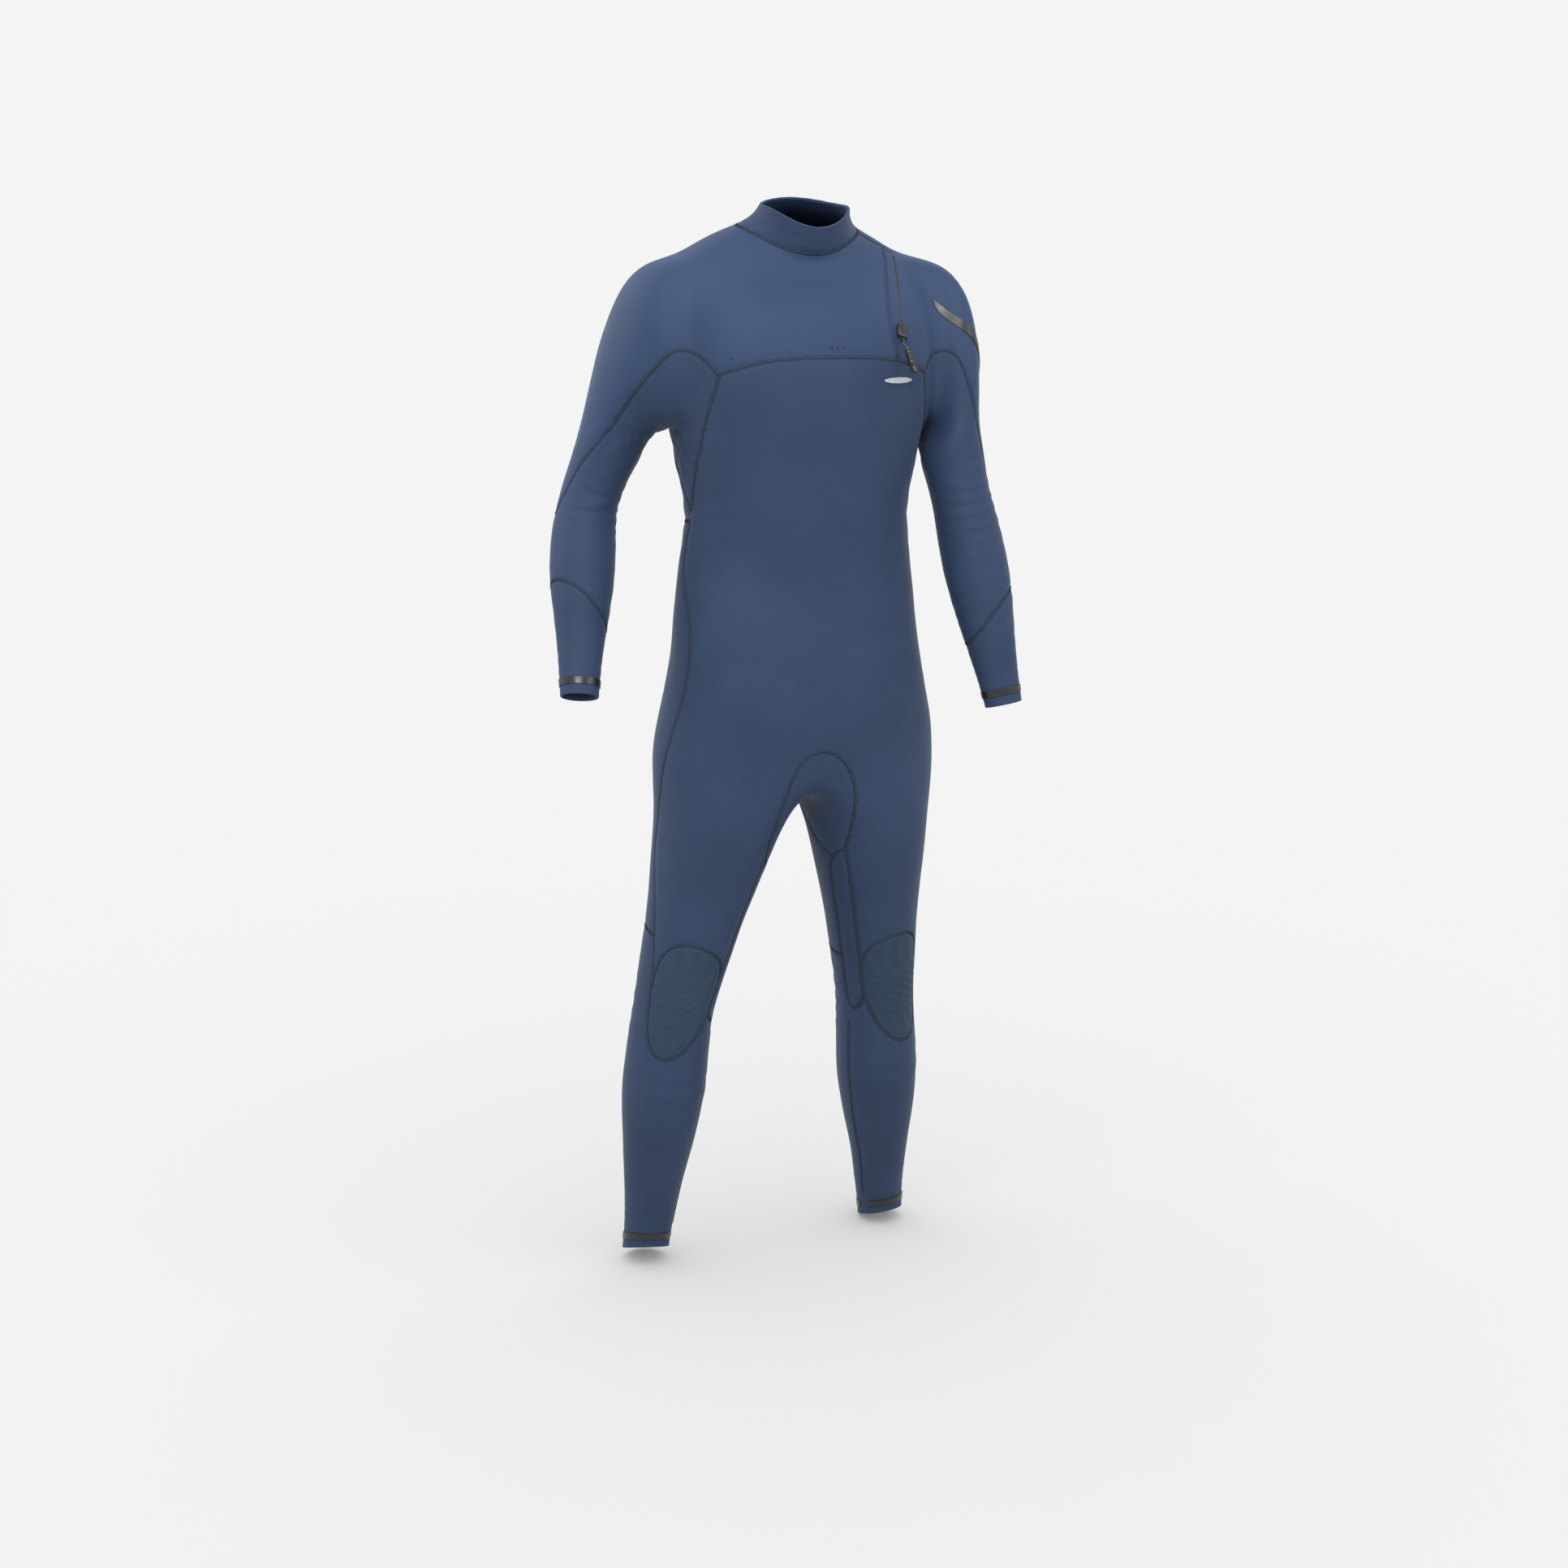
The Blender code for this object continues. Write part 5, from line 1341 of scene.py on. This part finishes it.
def make_cloth():
    """Every panel and trim, then the seams between them."""
    cloth = Cloth(2)
    cut_panels(cloth)
    cloth.absorb_scraps()
    even_out_seams(cloth)
    names = sorted(set(cloth.label.values()))
    cloth.bm.verts.index_update()
    points = np.array([[*v.co] for v in cloth.bm.verts])
    faces = [[v.index for v in face.verts] for face in cloth.bm.faces]
    kinds = [names.index(cloth.label[face]) for face in cloth.bm.faces]
    points, quads, kinds = subdivided(points, faces, kinds, 1)
    fine = cloth.fine
    found = [fine.find_nearest(Vector(p)) for p in points]
    points = np.array([[*place] for place, _, _, _ in found])
    facing = np.array([[*normal] for _, normal, _, _ in found])
    normals = outward(vertex_normals(points, quads), facing)

    # Seams and open edges. The entry slit isn't sewn.
    edges = {}
    for number, quad in enumerate(quads.tolist()):
        for k in range(4):
            edges.setdefault(tuple(sorted((quad[k], quad[(k + 1) % 4]))), []).append(kinds[number])
    regions = [region(name) for name in names]
    seams, hems = [], []
    for edge, sides in edges.items():
        if len(sides) == 1:
            hems.append(edge)
        elif regions[sides[0]] != regions[sides[1]]:
            pair = {regions[sides[0]], regions[sides[1]]}
            at = zip_chart(points[list(edge)])
            beside_slot = at.max() > ZIP_SLOT[0] and at.min() < ZIP_SLOT[1]
            if pair != {"chest_yoke", "left_shoulder"} or not beside_slot:
                seams.append(edge)
    on_seam = np.unique(np.array(seams))
    near = KDTree(len(on_seam))
    for i, number in enumerate(on_seam):
        near.insert(Vector(points[number]), i)
    near.balance()
    reach = np.array([near.find(Vector(p))[2] for p in points])

    arms = {side: limb_chart(points, path) for side, path in ARM_PATHS.items()}
    legs = {side: limb_chart(points, path) for side, path in LEG_PATHS.items()}
    heights = relief(points, arms, legs) - seam_dip(reach)
    displaced = points + normals * heights[:, None]
    shading = outward(vertex_normals(displaced, quads), facing)
    surface = Surface(displaced, quads)

    pieces = sorted({piece_of(name) for name in names})
    for piece in pieces:
        mine = np.array([piece_of(names[kind]) == piece for kind in kinds])
        looks = [look_of(names[kind]) for kind in kinds[mine]]
        if piece.startswith("knee_pad"):
            side = piece.rpartition("_")[2]
            obj = ribbed_pad(piece, points, quads[mine], fine, reach, side)
        else:
            shifted = points
            if piece in ("chest_yoke", "left_shoulder"):
                shifted = points + zip_offset(points, normals, piece)
            obj = shell_of(
                f"{piece}_cloth", shifted, quads[mine], normals, heights, -FOAM, looks,
                corner_normals=shading,
            )
        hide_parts(piece)
        attach(obj, body_of(piece))
    for trim, look in TRIMS.items():
        mine = np.array(["+" in names[kind] and names[kind].split("+")[1] == trim for kind in kinds])
        looks = [look] * mine.sum()
        obj = shell_of(
            f"{trim}_skin", points, quads[mine], normals, heights + TRIM, -TRIM, looks, sharp=True
        )
        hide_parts(trim)
        attach(obj, body_of(trim))
    return surface, displaced, seams, hems, points, fine


def ribbed_pad(piece, points, quads, fine, reach, side):
    """A knee pad with fine cross ribs."""
    used, index = np.unique(quads, return_inverse=True)
    rim_reach = reach[used]
    p, q, _ = subdivided(points[used], index.reshape(quads.shape).tolist(), [0] * len(quads), 2)
    found = [fine.find_nearest(Vector(x)) for x in p]
    normals = vertex_normals(p, q)
    tree = KDTree(len(used))
    for i, number in enumerate(used):
        tree.insert(Vector(points[number]), i)
    tree.balance()
    place = np.array([[*f[0]] for f in found])
    depth = []
    for x in p:
        near = tree.find_n(Vector(x), 3)
        weight = [1 / (item[2] + 1e-5) for item in near]
        depth.append(sum(w * rim_reach[item[1]] for w, item in zip(weight, near)) / sum(weight))
    depth = np.array(depth)
    along, angle = limb_chart(p, LEG_PATHS[side], step=0.001)
    rib = np.cos(2 * math.pi * (along + 0.00009 * turn_of(angle - 280)) / 0.0034)
    ease = np.clip((depth - 0.003) / 0.004, 0, 1)
    legs = {side: (along, angle)}
    heights = relief(p, {}, legs) - seam_dip(depth) + RIB * rib * ease
    return shell_of(f"{piece}_cloth", place, q, normals, heights, -FOAM, ["knee"] * len(q), sharp=True)


# Ridges: half width and height. Stitches: half width, pitch, height beside the ridge and over it.
# Threads: radius.
SEAM_BEAD, SEAM_STITCH, SEAM_THREAD = (0.0013, 0.0009), (0.0032, 0.0034, 0.00015, 0.00105), 0.00032
LEG_BEAD, LEG_STITCH, LEG_THREAD = (0.0010, 0.0005), (0.0026, 0.0034, 0.00015, 0.0007), 0.00028
ZIP_STITCH, ZIP_THREAD = (0.0011, 0.0034, 0.0001, 0.0001), 0.00024
HEM_BULGE = (0.00165, 0.0012)        # radii of a rolled edge, across the cloth and outward
SHORTEST_HEM = 0.08


def sew(surface, displaced, seams, hems):
    """The ridge and the zigzag thread of every seam, and the rolled edges."""
    gathered = {}
    for chain in chains_of(seams):
        line = evenly(displaced[chain], 0.001, 10)
        if len(line) < 22:
            continue
        place, facing = surface.seat(line)
        groups = group_of(place)
        for body, part in runs_of(np.arange(len(place)), groups):
            if len(part) < 5:
                continue
            beads, threads = gathered.setdefault(body, (Gather(), Gather()))
            rows = part[:: 2] if len(part) > 6 else part
            beads.sweep(bead_rows(place[rows], facing[rows], *SEAM_BEAD))
            path = zigzag(place[part], facing[part], *SEAM_STITCH)
            if len(path) > 4:
                threads.sweep(ring_rows(path, SEAM_THREAD))
    for body, (beads, threads) in gathered.items():
        for stem, part, look in (("seam_ridge", beads, "bead"), ("seam_thread", threads, "thread")):
            attach(finished(part, f"{stem}_{body}", look), body)
    edges = {}
    for chain in chains_of(hems):
        line = displaced[chain]
        if np.linalg.norm(np.diff(line, axis=0), axis=1).sum() < SHORTEST_HEM:
            continue
        if np.linalg.norm(line[0] - line[-1]) > 1e-6:
            line = np.concatenate([line, line[:1]])
        line = evenly(line, 0.002, 6)
        place, facing = surface.seat(line)
        middle = place - facing * (FOAM / 2)
        body = group_of(middle[:1])[0]
        tangent = np.gradient(middle, axis=0)
        outward = np.cross(facing, tangent)
        outward /= np.linalg.norm(outward, axis=1, keepdims=True)
        thick, wide = HEM_BULGE
        section = [(math.cos(a), math.sin(a)) for a in np.linspace(0, 2 * math.pi, 9)[:-1]]
        rows = np.stack([middle + facing * (thick * c) + outward * (wide * s) for c, s in section], 1)
        edges.setdefault(body, Gather()).sweep(rows)
    for body, part in edges.items():
        attach(finished(part, f"rolled_edge_{body}", "navy"), body)


# ---------------------------------------------------------------- zip, slider and pull
BESIDE_ZIP = (
    (0.112, -0.028, 1.329), (0.107, -0.052, 1.309), (0.096, -0.083, 1.281), (0.087, -0.111, 1.253),
    (0.085, -0.121, 1.236), (0.087, -0.127, 1.216), (0.096, -0.127, 1.188),
)
COIL = (0.0010, 0.00036)             # radius of the coil and of its thread
DRAINS = ((-0.002, -0.137, 1.206), (0.006, -0.137, 1.206), (0.014, -0.137, 1.206), (-0.126, -0.113, 1.194))
LEG_SEAM = (205, 0.345, 0.640)       # angle, start and end along each leg
DRAIN_RIM = (0.0019, 0.00030)        # radius of the rim and of its section
# The dark disc in each drain hole is painted shade, standing in for the shaded inside of the hole.
DRAIN_SHADE_DISC = ((-0.0006, 0.0018), (0.0008, 0.0017), (0.0009, 0.0002))   # lift, radius


def make_zip(zipper, surface):
    """Coil teeth on each tape edge, and the stitching beside the slit."""
    low, high = CHAIN
    for side, sign in (("left", 1), ("right", -1)):
        coil = Gather()
        angles = np.linspace(low + 1, high - 1, 15)
        spine = np.concatenate([zipper.section(a, [(sign * 0.0012, -0.0012)]) for a in angles])
        line = evenly(spine, 0.0004, 2)
        ahead = np.gradient(line, axis=0)
        ahead /= np.linalg.norm(ahead, axis=1, keepdims=True)
        up = np.array([[*surface.tree.find_nearest(Vector(p))[1]] for p in line])
        aside = np.cross(ahead, up)
        turn = 2 * np.pi * np.arange(len(line)) / 4 + (0 if sign > 0 else np.pi)
        helix = line + COIL[0] * (up * np.sin(turn)[:, None] + aside * np.cos(turn)[:, None])
        coil.sweep(ring_rows(helix, COIL[1], 5))
        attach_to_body(finished(coil, f"coil_{side}", "coil"), "suit")
    threads = Gather()
    for step in (0.0, 0.0036):
        line = evenly([[x - step, y, z] for x, y, z in BESIDE_ZIP], 0.001, 12)
        place, facing = surface.seat(line)
        threads.sweep(ring_rows(zigzag(place, facing, *ZIP_STITCH), ZIP_THREAD))
    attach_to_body(finished(threads, "zip_stitching", "thread"), "suit")


def ring_of(place, facing, radius, count=16):
    """A circle of points flat on the surface."""
    first = np.cross(facing, [0.0, 0.0, 1.0])
    first /= np.linalg.norm(first)
    second = np.cross(facing, first)
    turn = np.linspace(0, 2 * np.pi, count + 1)
    return place + radius * (first * np.cos(turn)[:, None] + second * np.sin(turn)[:, None])


def make_drains(surface):
    """The small drain holes across the chest: a dark disc of painted shade in a fused rim."""
    hole_shades, rims = Gather(), Gather()
    place, facing = surface.seat(np.array(DRAINS))
    for p, n in zip(place, facing):
        rims.sweep(ring_rows(ring_of(p + n * 0.0004, n, DRAIN_RIM[0]), DRAIN_RIM[1], 6))
        # Painted shade: a black moulded disc where the hole's inside would lie in shade.
        hole_shades.sweep(np.stack([ring_of(p + n * lift, n, radius, 12)[:-1] for lift, radius in DRAIN_SHADE_DISC]))
    for name, part, look in (("drain_hole_shades", hole_shades, "plastic"), ("drain_rims", rims, "bead")):
        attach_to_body(finished(part, name, look), "suit")


def sew_legs(surface):
    """The flat seam that runs on down each leg from the foot of the inner thigh strip."""
    angle, start, stop = LEG_SEAM
    turn = math.radians(angle)
    for side, path in LEG_PATHS.items():
        line = []
        for along in np.linspace(start, stop, 40):
            centre, outward, backward = limb_frame(path, along)
            line.append([*(centre + (outward * math.cos(turn) + backward * math.sin(turn)) * 0.055)])
        place, facing = surface.seat(evenly(line, 0.001, 4))
        beads, threads = Gather(), Gather()
        beads.sweep(bead_rows(place[::2], facing[::2], *LEG_BEAD))
        threads.sweep(ring_rows(zigzag(place, facing, *LEG_STITCH), LEG_THREAD))
        for stem, part, look in (("leg_ridge", beads, "bead"), ("leg_thread", threads, "thread")):
            attach(finished(part, f"{stem}_{side}_{angle}", look), f"lower_leg_{side}")


def smooth_block(name, points, faces, look, bevel, segments=3):
    """A moulded block with rounded edges."""
    obj = object_of(name, points, faces)
    bm = bmesh.new()
    bm.from_mesh(obj.data)
    bmesh.ops.recalc_face_normals(bm, faces=bm.faces)
    bm.to_mesh(obj.data)
    bm.free()
    rounding = obj.modifiers.new("round", "BEVEL")
    rounding.width = bevel
    rounding.segments = segments
    rounding.limit_method = "ANGLE"
    rounding.angle_limit = math.radians(25)
    obj.data.materials.append(MATERIALS[look])
    return obj


def lofted(sections):
    """Points and faces through sections of equal size, closed at both ends."""
    count = len(sections[0])
    points = [p for section in sections for p in section]
    faces = []
    for i in range(1, len(sections)):
        base = count * i
        for k in range(count):
            after = (k + 1) % count
            faces.append((base - count + k, base - count + after, base + after, base + k))
    faces += [tuple(range(count)), tuple(range(count * (len(sections) - 1), count * len(sections)))]
    return points, faces


# Half the slider's outline, from the middle of its top; its sections' scale and height; the oval's
# half width, half height and middle.
SLIDER_OUTLINE = (
    (0.0, 0.0092), (0.0058, 0.0091), (0.0078, 0.0080), (0.0083, 0.0040), (0.0083, -0.0040),
    (0.0076, -0.0078), (0.0044, -0.0088),
)
SLIDER_CROWN = ((0.92, 0.0016), (0.99, 0.0020), (1.0, 0.0036), (0.95, 0.0048), (0.84, 0.0053))
SLIDER_OVAL = (0.0030, 0.0046, 0.0018)


def make_slider(zipper):
    """Crowned upper plate with a raised oval, the web and the lower plate."""
    ring = list(SLIDER_OUTLINE) + [(-a, b) for a, b in reversed(SLIDER_OUTLINE[1:])]
    sections = [[zipper.at(a * s, b * s, out) for a, b in ring] for s, out in SLIDER_CROWN]
    plate = smooth_block("slider_plate", *lofted(sections), "plastic", 0.0003)
    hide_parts("slider")
    wide, tall, middle = SLIDER_OVAL
    turns = np.linspace(0, 2 * math.pi, 25)[:-1]
    oval = [(wide * math.cos(t), middle + tall * math.sin(t)) for t in turns]
    rim = [[zipper.at(a * s, middle + (b - middle) * s, out) for a, b in oval]
           for s, out in ((1.12, 0.0050), (1.08, 0.0059), (0.90, 0.0061), (0.82, 0.0054))]
    face = smooth_block("slider_oval", *lofted(rim), "plastic", 0.0001, 2)
    low = [[zipper.at(a * 0.5, b * 0.85, out) for a, b in ring] for out in (-0.0079, -0.0069)]
    shoe = smooth_block("slider_shoe", *lofted(low), "plastic", 0.0003)
    corners = ((-0.0003, -0.004), (0.0003, -0.004), (0.0003, 0.006), (-0.0003, 0.006))
    web = [[zipper.at(a, b, out) for a, b in corners] for out in (-0.0070, 0.0022)]
    stem = smooth_block("slider_web", *lofted(web), "plastic", 0.0001, 1)
    for obj in (plate, face, shoe, stem):
        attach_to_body(obj, "slider")


def cord_line(zipper):
    """The cord's path, as the solid's: down from the bail's bar, on both sides."""
    along, out = BAR
    lean = math.radians(PULL_LEAN)
    down = zipper.left * math.sin(lean) - zipper.up * math.cos(lean)
    aside = zipper.left * math.cos(lean) + zipper.up * math.sin(lean)
    hinge = zipper.at(0, along, out)
    turn = 0.0008 + 0.0003 + CORD_RADIUS
    path = [hinge + down * (GRIP_START - 0.0004) - aside * 0.0014 + zipper.out * 0.0012,
            hinge + down * 0.0090 - aside * 0.0017 + zipper.out * 0.0014,
            hinge - zipper.up * 0.0034 - zipper.left * 0.0012 + zipper.out * turn]
    for degrees in range(90, -91, -15):
        angle = math.radians(degrees)
        path.append(hinge + (zipper.up * math.cos(angle) + zipper.out * math.sin(angle)) * turn
                    + zipper.left * (-0.0012 + 0.0024 * (90 - degrees) / 180))
    path += [hinge - zipper.up * 0.0034 + zipper.left * 0.0012 - zipper.out * turn,
             hinge + down * 0.0090 + aside * 0.0017 - zipper.out * 0.0008,
             hinge + down * (GRIP_START - 0.0004) + aside * 0.0014]
    return hinge, down, path


STRAND_OFFSET, STRAND_RADIUS = 0.00042, 0.00056


def make_pull(zipper):
    """Bail, braided cord and grooved grip."""
    along, out = BAR
    arms = [(-0.0046, -0.0088, 0.0030), (-0.0048, along + 0.0015, out - 0.0006), (-0.0036, along, out)]
    ring = arms + [(-a, b, o) for a, b, o in reversed(arms)]
    bail = Gather()
    bail.sweep(ring_rows(evenly([[*zipper.at(*p)] for p in ring], 0.0006, 2), 0.0009, 10))
    obj = finished(bail, "bail_ring", "metal")
    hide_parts("slider_bail")
    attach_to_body(obj, "slider")

    hinge, down, path = cord_line(zipper)
    line = evenly([[*p] for p in path], 0.0004, 4)
    strands = Gather()
    tangent = np.gradient(line, axis=0)
    tangent /= np.linalg.norm(tangent, axis=1, keepdims=True)
    side = np.cross(tangent, [*zipper.left])
    side /= np.linalg.norm(side, axis=1, keepdims=True)
    other = np.cross(tangent, side)
    for k in range(4):
        turn = 2 * np.pi * (np.arange(len(line)) / 12 + k / 4)
        offset = side * np.cos(turn)[:, None] + other * np.sin(turn)[:, None]
        strands.sweep(ring_rows(line + STRAND_OFFSET * offset, STRAND_RADIUS, 8))
    cord = finished(strands, "braided_cord", "cord")
    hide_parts("pull_cord")
    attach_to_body(cord, "pull")

    profile = [(0.0, 0.0028), (0.0005, 0.0040), (0.0014, 0.0047)]
    for i in range(3):
        groove = 0.0050 + 0.0036 * i
        profile += [(groove, 0.0048), (groove + 0.0004, 0.0041)]
        profile += [(groove + 0.0013, 0.0041), (groove + 0.0017, 0.0048)]
    profile += [(0.0188, 0.0047), (0.0200, 0.0036), (0.0215, 0.0033), (0.0222, 0.0040), (0.0280, 0.0043)]
    profile += [(GRIP_LENGTH - 0.0010, 0.0041), (GRIP_LENGTH - 0.0003, 0.0036), (GRIP_LENGTH, 0.0026)]
    start = hinge + down * GRIP_START + zipper.out * 0.0012
    first = zipper.out - down * zipper.out.dot(down)
    first.normalize()
    second = down.cross(first)
    rows = [[start + down * at + (first * math.cos(t) * 0.92 + second * math.sin(t)) * radius
             for t in np.linspace(0, 2 * math.pi, 33)[:-1]] for at, radius in profile]
    grip = smooth_block("grip_moulding", *lofted(rows), "plastic", 0.0002, 2)
    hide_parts("pull_grip")
    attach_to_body(grip, "pull")


# ---------------------------------------------------------------- scene
def light(name, place, aim, size, power, colour=(1, 1, 1)):
    lamp = bpy.data.lights.new(name, "AREA")
    lamp.shape = "RECTANGLE"
    lamp.size, lamp.size_y = size
    lamp.energy = power
    lamp.color = colour
    obj = bpy.data.objects.new(name, lamp)
    obj.location = place
    obj.rotation_euler = (Vector(aim) - Vector(place)).to_track_quat("-Z", "Y").to_euler()
    bpy.context.scene.collection.objects.link(obj)
    return obj


def studio(floor_height):
    world = bpy.data.worlds.new("studio")
    bpy.context.scene.world = world
    world.use_nodes = True
    shade = world.node_tree.nodes["Background"]
    shade.inputs["Color"].default_value = (0.905, 0.905, 0.905, 1)
    shade.inputs["Strength"].default_value = 1.0
    corners = [(-60, -60), (60, -60), (60, 60), (-60, 60)]
    floor = object_of("floor", [(x, y, floor_height) for x, y in corners], [(0, 1, 2, 3)])
    material, _, shader = material_of("pale floor")
    shader.inputs["Base Color"].default_value = (0.86, 0.86, 0.86, 1)
    shader.inputs["Roughness"].default_value = 0.95
    shader.inputs["Specular IOR Level"].default_value = 0.0
    shader.inputs["Emission Color"].default_value = (1, 1, 1, 1)
    shader.inputs["Emission Strength"].default_value = 0.127
    floor.data.materials.append(material)
    unlit = bpy.data.collections.new("floor only")
    unlit.objects.link(floor)
    unlit.collection_objects[0].light_linking.link_state = "EXCLUDE"
    for lamp in (
        light("key", (-0.9, -2.3, 3.1), (0, -0.05, 1.25), (1.5, 1.5), 95),
        light("fill", (2.2, -2.0, 2.3), (0, 0, 1.1), (1.6, 1.6), 22, (0.95, 0.97, 1)),
        light("rim", (-2.2, 1.2, 2.2), (0, 0, 1.1), (1.0, 2.0), 30, (0.95, 0.97, 1)),
    ):
        lamp.light_linking.receiver_collection = unlit


FRAME = 1932          # pixels along each side of the image


def camera():
    """A camera at the photograph's viewing angle, and its framing."""
    turn, tilt, distance = math.radians(-20.57), math.radians(9.87), 3.18
    aim = Vector((0, 0, 0.75))
    away = Vector((math.sin(turn) * math.cos(tilt), -math.cos(turn) * math.cos(tilt), math.sin(tilt)))
    lens = bpy.data.cameras.new("camera")
    lens.lens, lens.sensor_width = 54.8, 36
    lens.shift_x, lens.shift_y = -13 / FRAME, -115.3 / FRAME
    obj = bpy.data.objects.new("camera", lens)
    obj.location = aim + away * distance
    obj.rotation_euler = (-away).to_track_quat("-Z", "Y").to_euler()
    bpy.context.scene.collection.objects.link(obj)
    bpy.context.scene.camera = obj


def finish_solids(frame):
    """Materials for the CAD nodes that stay."""
    looks = {
        "zip_chain_left": "coil", "zip_chain_right": "coil", "zip_tape_left": "tape",
        "zip_tape_right": "tape", "zip_stop_top": "plastic", "zip_stop_bottom": "plastic",
        "zip_backing": "tape",
    }
    for name, look in looks.items():
        node = frame["nodes"][name]
        for slot in node.material_slots:
            slot.material = MATERIALS[look]


cad_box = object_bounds()
surface, displaced, seams, hems, points, fine = make_cloth()
sew(surface, displaced, seams, hems)
zipper = Zip(fine)
make_zip(zipper, surface)
make_drains(surface)
sew_legs(surface)
make_slider(zipper)
make_pull(zipper)
finish_solids(frame)
camera()
studio(cad_box[0][2] - 0.001)
bpy.context.scene.view_settings.view_transform = "Standard"
